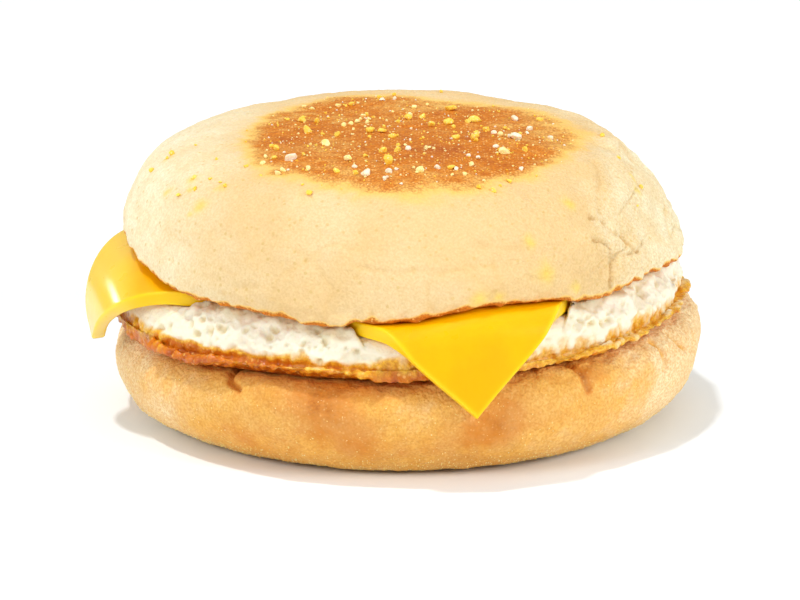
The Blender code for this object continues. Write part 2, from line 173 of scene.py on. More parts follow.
# angles all the way round, closer together where crowd(degrees) is higher
def columnAngles(count, crowd):
    fine = np.linspace(0, 360, 3601)
    density = crowd(fine)
    along = np.concatenate([[0], np.cumsum((density[1:] + density[:-1]) / 2)])
    wanted = np.arange(count) * along[-1] / count
    return np.radians(np.interp(wanted, along, fine))[:, None]


# cylinder coordinates as points
def inSpace(radius, height, angle):
    return np.stack(np.broadcast_arrays(radius * np.cos(angle), radius * np.sin(angle), height), axis=-1)


# unit normals of a grid points[angle][row]: the step round crossed with the step along
def gridNormals(points):
    roundStep = np.roll(points, -1, axis=0) - np.roll(points, 1, axis=0)
    alongStep = np.gradient(points, axis=1)
    normal = np.cross(roundStep, alongStep)
    return normal / np.maximum(np.linalg.norm(normal, axis=-1, keepdims=True), 1e-12)


# the place on a side's grid nearest to an angle in degrees and a height, among rows from first to last
def onSide(points, angle, degrees, height, first, last):
    turn = np.abs((np.degrees(angle[:, first:last]) - degrees + 180) % 360 - 180)
    miss = turn + 2 * np.abs(points[:, first:last, 2] - height)
    column, row = np.unravel_index(np.argmin(miss), miss.shape)
    return points[column, row + first]


# puts points in mm, faces and a value per point for each named attribute into a smooth mesh object
def meshObject(name, points, faces, attributes=None):
    data = bpy.data.meshes.new(name)
    data.from_pydata((points.reshape(-1, 3) * mm).tolist(), [], faces)
    for label, values in (attributes or {}).items():
        layer = data.attributes.new(label, "FLOAT", "POINT")
        layer.data.foreach_set("value", np.clip(values, 0, 1).astype(np.float32).ravel())
    data.shade_smooth()
    data.update()
    made = bpy.data.objects.new(name, data)
    bpy.context.scene.collection.objects.link(made)
    return made


# a closed surface from points[angle][row]: quads between neighbours, and a fan to a pole at either end
def roundSurface(name, points, attributes):
    columns, rows = points.shape[:2]
    index = np.arange(columns * rows).reshape(columns, rows)
    after = np.roll(index, -1, axis=0)
    quads = np.stack([index[:, :-1], after[:, :-1], after[:, 1:], index[:, 1:]], axis=-1).reshape(-1, 4)
    low, high = columns * rows, columns * rows + 1
    fans = [(low, b, a) for a, b in zip(index[:, 0].tolist(), after[:, 0].tolist())]
    fans += [(high, a, b) for a, b in zip(index[:, -1].tolist(), after[:, -1].tolist())]
    poles = np.stack([points[:, 0].mean(axis=0), points[:, -1].mean(axis=0)])
    everything = np.concatenate([points.reshape(-1, 3), poles])
    values = {}
    for label, value in attributes.items():
        value = np.broadcast_to(value, (columns, rows))
        values[label] = np.concatenate([value.ravel(), [value[:, 0].mean(), value[:, -1].mean()]])
    return meshObject(name, everything, quads.tolist() + fans, values)


# an sRGB colour from 0 to 255 as a linear one
def colour(red, green, blue):
    share = np.array([red, green, blue]) / 255
    linear = np.where(share <= 0.04045, share / 12.92, ((share + 0.055) / 1.055) ** 2.4)
    return (*linear.tolist(), 1)


# a node with its settings, and its inputs set to values or linked to sockets
def addNode(tree, kind, inputs=None, **settings):
    made = tree.nodes.new("ShaderNode" + kind)
    for key, value in settings.items():
        setattr(made, key, value)
    for key, value in (inputs or {}).items():
        if isinstance(value, bpy.types.NodeSocket):
            tree.links.new(value, made.inputs[key])
        else:
            made.inputs[key].default_value = value
    return made


# a + b, a * b and so on of two sockets or numbers
def combined(tree, operation, first, second, clamp=False):
    return addNode(tree, "Math", {0: first, 1: second}, operation=operation, use_clamp=clamp).outputs[0]


def times(tree, first, second):
    return combined(tree, "MULTIPLY", first, second)


# offset + factor * value
def sloped(tree, value, factor, offset):
    return combined(tree, "ADD", times(tree, value, factor), offset)


# 0 to 1 as a value goes from low to high, smoothly
def ranged(tree, value, low, high):
    inputs = {"Value": value, "From Min": low, "From Max": high}
    return addNode(tree, "MapRange", inputs, interpolation_type="SMOOTHSTEP").outputs["Result"]


# one colour over another by a share
def mixed(tree, share, under, over):
    return addNode(tree, "Mix", {0: share, 6: under, 7: over}, data_type="RGBA").outputs[2]


# a colour with coats laid over it in turn, each given as (mask, strength, colour)
def coated(tree, under, *coats):
    for mask, strength, over in coats:
        under = mixed(tree, times(tree, mask, strength), under, over)
    return under


# noise lumps about size mm across, in object coordinates
def noiseNode(tree, place, size, detail):
    scale = combined(tree, "DIVIDE", 1000.0, size)
    inputs = {"Vector": place, "Scale": scale, "Detail": detail, "Roughness": 0.6}
    return addNode(tree, "TexNoise", inputs).outputs["Fac"]


# an empty node group with named inputs (name, kind, value) and outputs (name, kind)
def newGroup(name, inputs, outputs):
    group = bpy.data.node_groups.new(name, "ShaderNodeTree")
    for label, kind, value in inputs:
        socket = group.interface.new_socket(name=label, in_out="INPUT", socket_type="NodeSocket" + kind)
        socket.default_value = value
    for label, kind in outputs:
        group.interface.new_socket(name=label, in_out="OUTPUT", socket_type="NodeSocket" + kind)
    return group, group.nodes.new("NodeGroupInput").outputs, group.nodes.new("NodeGroupOutput").inputs


# a group placed in a material with its own values
def placeGroup(tree, group, inputs):
    return addNode(tree, "Group", inputs, node_tree=group).outputs


# fine crumb: a height of soft grains with finer ones on them, a mask of scattered specks, and a mask of fine grain
def makeCrumbGroup():
    inputs = [("Grain Size", "Float", 0.6), ("Speck Size", "Float", 0.9), ("Speck Share", "Float", 0.3)]
    outputs = [("Height", "Float"), ("Specks", "Float"), ("Grain", "Float")]
    group, given, result = newGroup("fineCrumb", inputs, outputs)
    place = addNode(group, "TexCoord").outputs["Object"]
    coarse = noiseNode(group, place, given["Grain Size"], 2.0)
    grainScale = combined(group, "DIVIDE", 1300.0, given["Grain Size"])
    cells = addNode(group, "TexVoronoi", {"Vector": place, "Scale": grainScale}, feature="SMOOTH_F1")
    rounded = combined(group, "SUBTRACT", 1.0, cells.outputs["Distance"])
    height = combined(group, "ADD", times(group, coarse, 0.6), times(group, rounded, 0.5))
    group.links.new(height, result["Height"])
    speckScale = combined(group, "DIVIDE", 1000.0, given["Speck Size"])
    specks = addNode(group, "TexVoronoi", {"Vector": place, "Scale": speckScale})
    inside = ranged(group, specks.outputs["Distance"], 0.42, 0.22)
    chosen = addNode(group, "SeparateColor", {"Color": specks.outputs["Color"]}).outputs["Red"]
    few = combined(group, "LESS_THAN", chosen, given["Speck Share"])
    group.links.new(times(group, inside, few), result["Specks"])
    finer = times(group, given["Grain Size"], 0.7)
    group.links.new(ranged(group, noiseNode(group, place, finer, 3.0), 0.36, 0.64), result["Grain"])
    return group


# browning: pale, golden, brown and dark in turn as a mask rises, with its edge broken up by noise
def makeBrowningGroup():
    inputs = [("Browning", "Float", 0.0), ("Break Up", "Float", 0.2), ("Break Up Size", "Float", 3.0)]
    inputs += [(shade, "Color", (1, 1, 1, 1)) for shade in ("Pale", "Golden", "Brown", "Dark")]
    group, given, result = newGroup("browning", inputs, [("Colour", "Color"), ("Amount", "Float")])
    place = addNode(group, "TexCoord").outputs["Object"]
    wide = noiseNode(group, place, given["Break Up Size"], 5.0)
    centred = times(group, combined(group, "SUBTRACT", wide, 0.5), given["Break Up"])
    amount = combined(group, "ADD", given["Browning"], times(group, centred, 2.0), clamp=True)
    shade = given["Pale"]
    for name, low, high in (("Golden", 0.05, 0.4), ("Brown", 0.35, 0.72), ("Dark", 0.7, 1.0)):
        shade = mixed(group, ranged(group, amount, low, high), shade, given[name])
    group.links.new(shade, result["Colour"])
    group.links.new(amount, result["Amount"])
    return group


# cloudy change of shade: a colour turned towards a tint in patches
def makeCloudGroup():
    inputs = [(shade, "Color", (1, 1, 1, 1)) for shade in ("Colour", "Tint")]
    inputs += [("Size", "Float", 8.0), ("Amount", "Float", 0.5)]
    group, given, result = newGroup("cloudyShade", inputs, [("Colour", "Color")])
    place = addNode(group, "TexCoord").outputs["Object"]
    clouds = ranged(group, noiseNode(group, place, given["Size"], 4.0), 0.35, 0.65)
    share = combined(group, "MULTIPLY", clouds, given["Amount"], clamp=True)
    group.links.new(mixed(group, share, given["Colour"], given["Tint"]), result["Colour"])
    return group


fineCrumb = makeCrumbGroup()
browning = makeBrowningGroup()
cloudyShade = makeCloudGroup()
print("node groups built")


# a material's tree and its shader's inputs, with the shader's own constant values
def newMaterial(name, finish):
    material = bpy.data.materials.new(name)
    material.use_nodes = True
    shader = material.node_tree.nodes["Principled BSDF"]
    for key, value in finish.items():
        shader.inputs[key].default_value = value
    return material, material.node_tree, shader.inputs


def attributeOf(tree, name):
    return addNode(tree, "Attribute", attribute_name=name).outputs["Fac"]


# a crust that goes from pale to a piece's own golden, brown and dark as a mask rises
def bakedCrust(tree, piece, mask, pale, breakUp, size):
    inputs = {"Browning": mask, "Break Up": breakUp, "Break Up Size": size, "Pale": pale}
    shades = {"Golden": piece["golden"], "Brown": piece["brown"], "Dark": piece["dark"]}
    return placeGroup(tree, browning, {**inputs, **shades})


# roughness that slides from start to end as a mask goes from 0 to 1
def setRoughness(tree, shader, mask, start, end):
    slid = addNode(tree, "MapRange", {"Value": mask, "To Min": start, "To Max": end})
    tree.links.new(slid.outputs["Result"], shader["Roughness"])


# a bump that feeds the shader's normal: depth in mm, and strength
def addBump(tree, shader, height, depth, strength):
    bump = addNode(tree, "Bump", {"Height": height, "Distance": depth * mm, "Strength": strength})
    tree.links.new(bump.outputs["Normal"], shader["Normal"])


# gives a piece its material and the body it rides on, and hides the node it stands for
def finishPiece(piece, material, replaced=None):
    piece.data.materials.append(material)
    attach(piece, "root")
    if replaced:
        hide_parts(replaced)
    print(piece.name, len(piece.data.vertices), "points", len(piece.data.polygons), "faces")


heel = {
    "columns": 660,
    "rows": 140,
    "radius": 49.0,
    "flatRadius": 37.0,
    "waist": 11.5,  # height of its widest part
    "height": 16.2,
    "shoulder": 5.0,
    "shift": 0.8,  # to the right, under the rest
    "slope": 0.034,  # its upper face climbs to the right
    "rightRise": 1.0,
    # lumps, skin and the ragged edge round its upper face: (amount, size, seed) of each noise
    "relief": ((0.7, 19, 3), (0.35, 7, 4)),
    "skin": ((0.10, 1.1, 41), (0.07, 0.6, 42), (0.16, 3.2, 43)),
    "ragged": ((0.3, 1.7, 44), (0.2, 0.9, 45)),
    # creases in the side: (degrees, height) along each, then depth and half width
    "creases": (
        (((229.5, 17.0), (231.5, 15.2), (233.0, 14.2), (236.0, 13.6)), 1.1, 0.55),
        (((304.4, 17.8), (305.4, 15.8), (305.8, 13.4)), 0.8, 0.7),
        (((327.0, 17.4), (328.5, 15.4), (328.0, 12.6)), 0.9, 0.6),
        (((333.5, 17.4), (335.5, 15.4), (338.5, 13.6)), 1.0, 0.55),
        (((341.5, 17.2), (343.0, 15.0), (342.0, 13.0)), 0.9, 0.55),
    ),
    "creaseRows": (12, 128),
    "lobe": (241, 15.0, 6.5, 1.6, 0.7),  # swelling beside the first crease, given as the patches are
    # browned patches of the side: degrees, height, half width in degrees, half height, amount; the band at 262 degrees
    # under the egg's lip and the patches at 283 and 308 degrees below the cheese's hanging front corner are painted
    # shade
    "patches": (
        (252, 13.4, 8, 2.8, 0.34), (258, 9.5, 8, 4.0, 0.34), (288, 10.0, 6, 4.5, 0.30), (244, 6.0, 16, 3.0, 0.12),
        (309, 15.4, 6, 1.6, 0.30), (323, 12.0, 4, 4.0, 0.16), (326, 5.0, 9, 2.6, 0.20), (224, 16.0, 10, 1.4, 0.25),
        (262, 15.8, 20, 1.6, 0.32), (283, 9.5, 9, 5.0, 0.36), (308, 9.0, 15, 5.0, 0.14), (300, 6.0, 12, 3.0, -0.10),
        (268, 6.0, 10, 3.0, 0.12), (60, 12.0, 20, 4.0, 0.30), (120, 8.0, 16, 4.0, 0.30),
    ),
    "toast": 0.36,  # of the side between its patches
    "innerToast": 0.3,  # under the egg
    "undersideToast": 0.5,
    "finish": {
        "Subsurface Weight": 0.08,
        "Subsurface Scale": 0.002,
        "Subsurface Radius": (1.0, 0.5, 0.25),
        "Specular IOR Level": 0.25,
    },
    "crumb": {"Grain Size": 0.62, "Speck Size": 0.5, "Speck Share": 0.3},
    "clouds": {"Tint": colour(236, 190, 120), "Size": 6.0, "Amount": 0.35},
    "pale": colour(252, 228, 178),
    "golden": colour(243, 186, 90),
    "brown": colour(216, 132, 40),
    "dark": colour(172, 92, 24),
    "grain": colour(212, 136, 48),
    "specks": colour(255, 222, 146),
}


# rise of the heel's upper face at x: slope * x, and more beyond 28 mm
def heelFaceRise(x):
    return heel["slope"] * x + heel["rightRise"] * smoothStep(x, 28, 48)


# underside, side and shoulder of the heel: a quarter ellipse below the waist and a smaller one above it
def heelProfile():
    flat, waist, corner = heel["flatRadius"], heel["waist"], heel["shoulder"]
    side = arcPoints((flat, waist), heel["radius"] - flat, waist, -90, 0, points=200)
    shoulder = arcPoints((heel["radius"] - corner, waist), corner, heel["height"] - waist, 0, 90, points=100)
    outline = [(0.6, 0), *side, *shoulder[1:], (0.6, heel["height"])]
    return spaced(outline, heel["rows"], lambda radius, height: np.where(radius > 36, 1.0, 0.12))


# the profile turned round, moved along its own normals by lumps, then sloped as the egg lies on it
def heelSurface():
    angle = columnAngles(heel["columns"], lambda degrees: np.where((degrees > 190) & (degrees < 350), 1.3, 1.0))
    profile = heelProfile()
    radius, height = profile.T
    normal = outwardOf(profile)
    point = inSpace(radius, height, angle)
    loose = smoothStep(height, 0, 4) * smoothStep(radius, 40, 46)
    relief = lumpy(point, *heel["relief"]) * loose
    face = smoothStep(height, heel["height"] - 2, heel["height"])
    points = inSpace(radius + normal[:, 0] * relief, height + normal[:, 1] * relief * (1 - face), angle)
    share = smoothStep(points[..., 2], heel["waist"] * 0.3, heel["height"])
    points[..., 0] += heel["shift"] * smoothStep(points[..., 2], 0, heel["waist"])
    points[..., 2] += heelFaceRise(points[..., 0]) * share
    return points, np.broadcast_to(angle, points.shape[:2])


# patches of a side added up: amount * exp(-(turn / half width)^2 - (rise / half height)^2) of each
def patchesOf(rows, degrees, height):
    total = np.zeros(height.shape)
    for turn, level, wide, tall, amount in rows:
        away = (degrees - turn + 180) % 360 - 180
        total = total + amount * fading(away, height - level, wide, tall)
    return total


# skin, a ragged upper edge, grooves along the creases and the lobe; and how creased each place is
def heelRelief(points, angle):
    height = points[..., 2]
    move = lumpy(points, *heel["skin"]) + lumpy(points, *heel["ragged"]) * smoothStep(height, 14.2, 16.0)
    crease = np.zeros(height.shape)
    strayed = wandering(points, 2.2, 0.35, 46)
    for route, depth, width in heel["creases"]:
        chain = np.array([onSide(points, angle, turn, level, *heel["creaseRows"]) for turn, level in route])
        near = np.exp(-((toChain(strayed, chain) / width) ** 2))
        move = move - depth * near
        crease = np.maximum(crease, near)
    return move + patchesOf([heel["lobe"]], np.degrees(angle), height), crease


# how toasted the heel is: clouds and patches, paler at the left and right, browned creases and underside; the paler
# sides are partly flour and partly painted light, and the browned creases and some patches are painted shade
def heelToast(points, angle, radius, crease):
    x, height = points[..., 0], points[..., 2]
    clouds = 0.5 * layeredNoise(points, 13, 51, 4)
    patches = patchesOf(heel["patches"], np.degrees(angle), height)
    # paler towards the left and right: partly flour, partly painted light where the sides catch the lamps
    toast = heel["toast"] + 0.34 * clouds + patches - 0.18 * smoothStep(-x, 20, 46) - 0.56 * smoothStep(x, 24, 47)
    # the creases browned: painted shade in them
    toast = toast + 0.06 * np.exp(-(((height - 3.0) / 2.6) ** 2)) + 0.4 * crease
    under = 1 - smoothStep(height, 0.1, 0.8)
    toast = blended(toast, heel["undersideToast"] + 0.3 * clouds, under)
    inner = smoothStep(46 - radius, 0, 4) * smoothStep(height, 14.5, 16)
    return blended(toast, heel["innerToast"], inner)


def heelMaterial():
    material, tree, shader = newMaterial("toastedHeel", heel["finish"])
    crumb = placeGroup(tree, fineCrumb, heel["crumb"])
    baked = bakedCrust(tree, heel, attributeOf(tree, "toast"), heel["pale"], 0.2, 2.4)
    cloudy = placeGroup(tree, cloudyShade, {"Colour": baked["Colour"], **heel["clouds"]})
    coats = (crumb["Grain"], 0.5, heel["grain"]), (crumb["Specks"], 0.2, heel["specks"])
    tree.links.new(coated(tree, cloudy["Colour"], *coats), shader["Base Color"])
    setRoughness(tree, shader, baked["Amount"], 0.85, 0.6)
    addBump(tree, shader, crumb["Height"], 0.42, 0.85)
    return material


# the heel's surface moved along its normals by its fine relief, and kept off the table
def makeHeel():
    points, angle = heelSurface()
    normals = gridNormals(points)
    radius = np.hypot(points[..., 0], points[..., 1])
    move, crease = heelRelief(points, angle)
    shown = points + normals * (move * smoothStep(radius, 36, 41))[..., None]
    shown[..., 2] = np.maximum(shown[..., 2], 0.02)
    piece = roundSurface("heelCrust", shown, {"toast": heelToast(points, angle, radius, crease)})
    finishPiece(piece, heelMaterial(), "heel")
    return shown, normals


cheese = {
    "cells": 150,
    "side": 85.0,
    "thickness": 2.3,
    "centre": (-0.3, -1.3),
    "turn": math.radians(14.0),
    "pinch": 0.14,  # how much its sides curve in
    "pinchPower": 6.0,
    "cornerInside": 41.0,
    "trimFrom": 30.0,
    "rises": (3.3, 2.1),  # under the crown's left edge and at its front right
    # corners that hang out: direction in degrees, start, radius, how far it turns and how far it stretches
    "bends": ((286.1, 44.0, 4.4, 77.7, 1.02), (197.3, 41.7, 10.4, 93.8, 1.03), (104.0, 45.0, 6.5, 74, 1.0)),
    "base": 23.7,
    "edgeRound": 0.45,
    # how far the rows next to each edge stand from it, in rounds
    "edgeRows": (0, 0.03, 0.12, 0.28, 0.5, 0.75, 1.0, 1.6, 2.4),
    "swell": ((0.10, 16, 61), (0.05, 7, 62)),
    "finish": {
        "Subsurface Weight": 0.35,
        "Subsurface Scale": 0.003,
        "Subsurface Radius": (1.0, 0.55, 0.08),
        "Specular IOR Level": 0.2,
        "Coat Roughness": 0.17,
    },
    "gloss": 0.9,  # coat of the corner that hangs at the left
    "face": colour(252, 186, 0),
    "clouds": {"Tint": colour(250, 176, 0), "Size": 9.0, "Amount": 0.8},
    # lighter yellow of the cut edges: painted light on them
    "edge": colour(255, 210, 30),
    # paler yellow of the hanging left corner: painted light
    "litCornerYellow": colour(255, 214, 44),
}


# a place's distance along the slice's two sides: its offset from the centre, turned by the slice's angle
def inSlice(x, y):
    x, y = x - cheese["centre"][0], y - cheese["centre"][1]
    cosine, sine = math.cos(cheese["turn"] + math.pi / 4), math.sin(cheese["turn"] + math.pi / 4)
    return x * cosine + y * sine, y * cosine - x * sine


# how far a side is drawn in: pinch * (1 - share^2)^power
def pinchOf(share):
    return cheese["pinch"] * (1 - np.clip(share, -1, 1) ** 2) ** cheese["pinchPower"]


# distance from the middle towards the slice's right corner
def toRightCorner(x, y):
    return x * math.cos(cheese["turn"]) + y * math.sin(cheese["turn"])


# distance outside the slice, negative under it: the larger of its two overshoots
def beyondSlice(x, y):
    half = cheese["side"] / 2
    along, across = inSlice(x, y)
    narrow, short = 1 - pinchOf(across / half), 1 - pinchOf(along / half)
    outside = np.maximum(np.abs(along) - half * narrow, np.abs(across) - half * short)
    past = toRightCorner(x, y) > cheese["trimFrom"]
    return np.maximum(outside, np.where(past, np.hypot(x, y) - cheese["cornerInside"], -half))


# how much the slice and the crown over it are raised: smooth steps towards the left and the front right
def sliceHeight(x, y):
    within = np.minimum(1, 44 / np.maximum(np.hypot(x, y), 1))
    x, y = x * within, y * within
    left = smoothStep(-x, 24, 44) * smoothStep(-y, -30, -14) * smoothStep(y, -30, -10)
    front = smoothStep(-y, 24, 42) * smoothStep(x, -2, 14)
    return cheese["rises"][0] * left + cheese["rises"][1] * front


# what lies past a straight line is carried round a cylinder: s = R sin(turn), drop = R (1 - cos(turn))
def cornerBend(points, direction, start, bendRadius, bendAngle, stretch):
    way = np.array([math.cos(math.radians(direction)), math.sin(math.radians(direction))])
    reach = points[..., :2] @ way
    above = points[..., 2] - (cheese["base"] + cheese["thickness"] / 2)
    past = (reach - start).clip(0)
    turn = np.minimum(past * stretch / bendRadius, math.radians(bendAngle))
    straight = past * stretch - bendRadius * turn
    shift = (bendRadius + above) * np.sin(turn) + straight * np.cos(turn) - past
    drop = (bendRadius + above) * (1 - np.cos(turn)) + straight * np.sin(turn)
    bent = points.copy()
    bent[..., :2] += shift[..., None] * way
    bent[..., 2] -= drop
    return bent


# the slice's flat coordinates pinched, turned, trimmed at the right, bent at three corners and raised
def slicePoints(along, across, above):
    half = cheese["side"] / 2
    along, across = along * (1 - pinchOf(across / half)), across * (1 - pinchOf(along / half))
    cosine, sine = math.cos(cheese["turn"] + math.pi / 4), math.sin(cheese["turn"] + math.pi / 4)
    x = cheese["centre"][0] + along * cosine - across * sine
    y = cheese["centre"][1] + along * sine + across * cosine
    kept = np.where(toRightCorner(x, y) > cheese["trimFrom"], cheese["cornerInside"], np.inf)
    pulled = np.minimum(1, kept / np.maximum(np.hypot(x, y), 1e-6))
    x, y = x * pulled, y * pulled
    points = np.stack([x, y, cheese["base"] + cheese["thickness"] / 2 + above], axis=-1)
    rise = sliceHeight(x, y)
    for bend in cheese["bends"]:
        points = cornerBend(points, *bend)
    points[..., 2] += rise
    return points


# waxy cheese in faint clouds, lighter at its cut edges and paler at its hanging left corner, both painted light, with
# a gloss where its left corner hangs
def cheeseMaterial():
    material, tree, shader = newMaterial("processedCheese", cheese["finish"])
    hanging = attributeOf(tree, "hanging")
    cloudy = placeGroup(tree, cloudyShade, {"Colour": cheese["face"], **cheese["clouds"]})
    coats = (attributeOf(tree, "rim"), 0.7, cheese["edge"]), (hanging, 0.8, cheese["litCornerYellow"])
    tree.links.new(coated(tree, cloudy["Colour"], *coats), shader["Base Color"])
    tree.links.new(times(tree, hanging, cheese["gloss"]), shader["Coat Weight"])
    place = addNode(tree, "TexCoord").outputs["Object"]
    sheen = addNode(tree, "TexNoise", {"Vector": place, "Scale": 260.0, "Detail": 4.0}).outputs["Fac"]
    setRoughness(tree, shader, sheen, 0.22, 0.38)
    fine = addNode(tree, "TexNoise", {"Vector": place, "Scale": 900.0, "Detail": 3.0}).outputs["Fac"]
    addBump(tree, shader, fine, 0.05, 0.5)
    return material


# two grids that meet at a rounded edge: half thickness * (1 - (1 - distance / round)^4)^(1/4)
def makeCheese():
    half, thick, rounding = cheese["side"] / 2, cheese["thickness"] / 2, cheese["edgeRound"]
    close = rounding * np.array(cheese["edgeRows"])
    inner = np.linspace(-half + 1.7, half - 1.7, cheese["cells"] - 17)
    place = np.concatenate([-half + close, inner, (half - close)[::-1]])
    along, across = np.meshgrid(place, place, indexing="ij")
    toEdge = half - np.maximum(np.abs(along), np.abs(across))
    full = (1 - (1 - np.clip(toEdge / rounding, 0, 1)) ** 4) ** 0.25
    swell = lumpy(np.stack([along, across, np.zeros(along.shape)], axis=-1), *cheese["swell"]) * full
    sheets = [slicePoints(along, across, side * full * thick + swell).reshape(-1, 3) for side in (1, -1)]
    count = len(place)
    index = np.arange(count * count).reshape(count, count)
    quads = np.stack([index[:-1, :-1], index[1:, :-1], index[1:, 1:], index[:-1, 1:]], axis=-1).reshape(-1, 4)
    faces = quads.tolist() + (quads[:, ::-1] + count * count).tolist()
    points = np.concatenate(sheets)
    # painted light along the cut edges
    rim = np.tile((1 - smoothStep(toEdge, 0.1, 0.9)).ravel(), 2)
    # the hanging left corner: its paler yellow is painted light, its coat a real gloss
    hanging = smoothStep(-points[:, 0], 42, 47)
    piece = meshObject("cheeseSlice", points, faces, {"rim": rim, "hanging": hanging})
    joined = bmesh.new()
    joined.from_mesh(piece.data)
    bmesh.ops.remove_doubles(joined, verts=joined.verts, dist=1e-6)
    bmesh.ops.recalc_face_normals(joined, faces=joined.faces)
    joined.to_mesh(piece.data)
    joined.free()
    piece.data.shade_smooth()
    finishPiece(piece, cheeseMaterial(), "cheese")


crown = {
    "columns": 640,
    "rows": 150,
    "radius": 46.7,
    "base": 26.3,
    "top": 47.2,
    "lean": -1.3,  # of its top, to the left
    "slim": 1.2,  # how much its right side is drawn in
    "squareness": (6.4, 1.8),  # of the dome's radius and of its height
    "lip": 1.2,
    "rim": (
        (0, 26.9), (30, 27.2), (60, 26.9), (90, 27.6), (125, 28.0), (155, 29.4), (178, 30.2), (197, 29.8),
        (204, 28.6), (211, 27.5), (221, 26.4), (240, 26.3), (247, 26.0), (251, 25.2), (256, 24.8), (260, 25.6),
        (264, 26.4), (276, 26.0), (284, 27.5), (300, 27.9), (309, 26.9), (316, 26.9), (322, 28.1), (336, 28.1),
        (347, 26.9),
    ),  # height of its lower edge at some degrees
    "relief": ((0.6, 23, 15), (0.35, 9, 16)),
    "torn": ((0.40, 1.9, 35), (0.30, 0.95, 36)),  # of its bready lower edge
    # cracks in the side: (degrees, height) along each, then depth and half width
    "cracks": (
        (((333, 44.5), (327, 43.1), (324, 41.4), (320, 38.9)), 0.3, 0.5),
        (((316, 38.6), (320, 37.2), (323, 35.6), (325.5, 32.5)), 0.5, 0.4),
        (((313, 36.2), (317.5, 34.5), (318, 32.9), (316, 31.7), (315.6, 30.4), (315, 28)), 0.85, 0.32),
        (((318, 32.9), (322, 32.8), (325.5, 32.5), (331, 33.4)), 0.85, 0.3),
        (((262, 35.0), (268, 34.4), (275, 34.8), (281, 34.2)), 0.16, 0.5),
        (((228, 31.0), (234, 30.5), (240, 30.8)), 0.14, 0.5),
        (((286, 37.6), (292, 37.2), (297, 37.5)), 0.16, 0.5),
        (((214, 35.8), (221, 35.2)), 0.14, 0.5),
        (((20, 34.0), (26, 36.5), (30, 40.0)), 0.4, 0.45),
        (((150, 33.0), (158, 34.5), (163, 37.0)), 0.3, 0.45),
    ),
    # soft stains: degrees, height, half width
    "stains": (
        (285, 29.8, 1.3), (289, 29.8, 0.9), (298, 37.7, 1.0), (299, 33.0, 1.5), (306, 29.9, 0.9), (194, 44.0, 0.9),
        (213, 43.3, 1.0), (216, 42.3, 0.8), (224, 43.5, 0.8), (222, 40.5, 1.1), (220, 39.2, 0.7), (209, 41.0, 0.8),
        (342, 41.4, 0.8), (340, 39.8, 0.8), (312, 41.5, 1.0), (100, 38.0, 1.0), (60, 34.0, 1.2), (20, 41.0, 1.0),
    ),
    "patchCentre": (0.0, -6.0),
    # reach of the browned top from its centre at some degrees
    "patch": (
        (4, 28.9), (23, 28.6), (36, 28.2), (52, 26.9), (68, 25.8), (84, 26.3), (98, 27.5), (108, 29.5), (126, 29.6),
        (139, 27.6), (165, 24.6), (195, 25.4), (211, 27.1), (222, 29.2), (240, 29.8), (269, 30.3), (288, 29.1),
        (311, 28.1), (337, 27.2),
    ),
    "patchEdge": ((0.03, 9, 91), (0.03, 4, 92), (0.025, 1.6, 93)),
    "patchToast": 0.70,
    # darker and lighter places of the browned top: x, y, half sizes, amount
    "shades": ((10, -20, 14, 8, 0.13), (0, 17, 18, 9, -0.13), (1, -31, 14, 5, -0.195)),
    "rimToast": 0.75,
    "undersideToast": 0.35,
    "finish": {
        "Subsurface Weight": 0.12,
        "Subsurface Scale": 0.003,
        "Subsurface Radius": (1.0, 0.6, 0.3),
        "Specular IOR Level": 0.15,
    },
    "crumb": {"Grain Size": 0.55, "Speck Size": 0.5, "Speck Share": 0.34},
    "flecks": {"Grain Size": 1.1, "Speck Size": 0.85, "Speck Share": 0.10},
    "clouds": {"Tint": colour(236, 204, 148), "Size": 7.0, "Amount": 0.35},
    "pale": colour(232, 198, 144),
    "warm": colour(232, 198, 143),  # low at the front
    # paler shade of the crown: painted light on its left and right flanks, and floury patches
    "white": colour(246, 238, 204),
    "golden": colour(246, 198, 106),
    "brown": colour(218, 130, 34),
    "dark": colour(180, 86, 16),
    # darker colour in the pits and wrinkles: painted shade in them
    "hollow": colour(222, 178, 100),
    "fleck": colour(206, 168, 84),
    "blotch": colour(226, 188, 124),
    "grain": colour(216, 180, 112),
    "stain": colour(240, 206, 84),
    # darker colour in the cracks: painted shade in them
    "split": colour(204, 158, 84),
    "burnt": colour(158, 72, 20),
    "spark": colour(252, 190, 108),
}


# height of the crown's underside: over the slice, or the rim's own height towards its edge
def crownUnderside(radius, angle):
    x, y = radius * np.cos(angle), radius * np.sin(angle)
    rim = around(crown["rim"], angle) - crown["base"]
    resting = np.maximum(rim.clip(0) * smoothStep(radius, 37, 45.5), sliceHeight(x, y))
    beside = smoothStep(beyondSlice(x, y), 0.6, 2.2) * smoothStep(radius, 42.5, 45.5)
    return crown["base"] + resting + beside * (rim - resting)


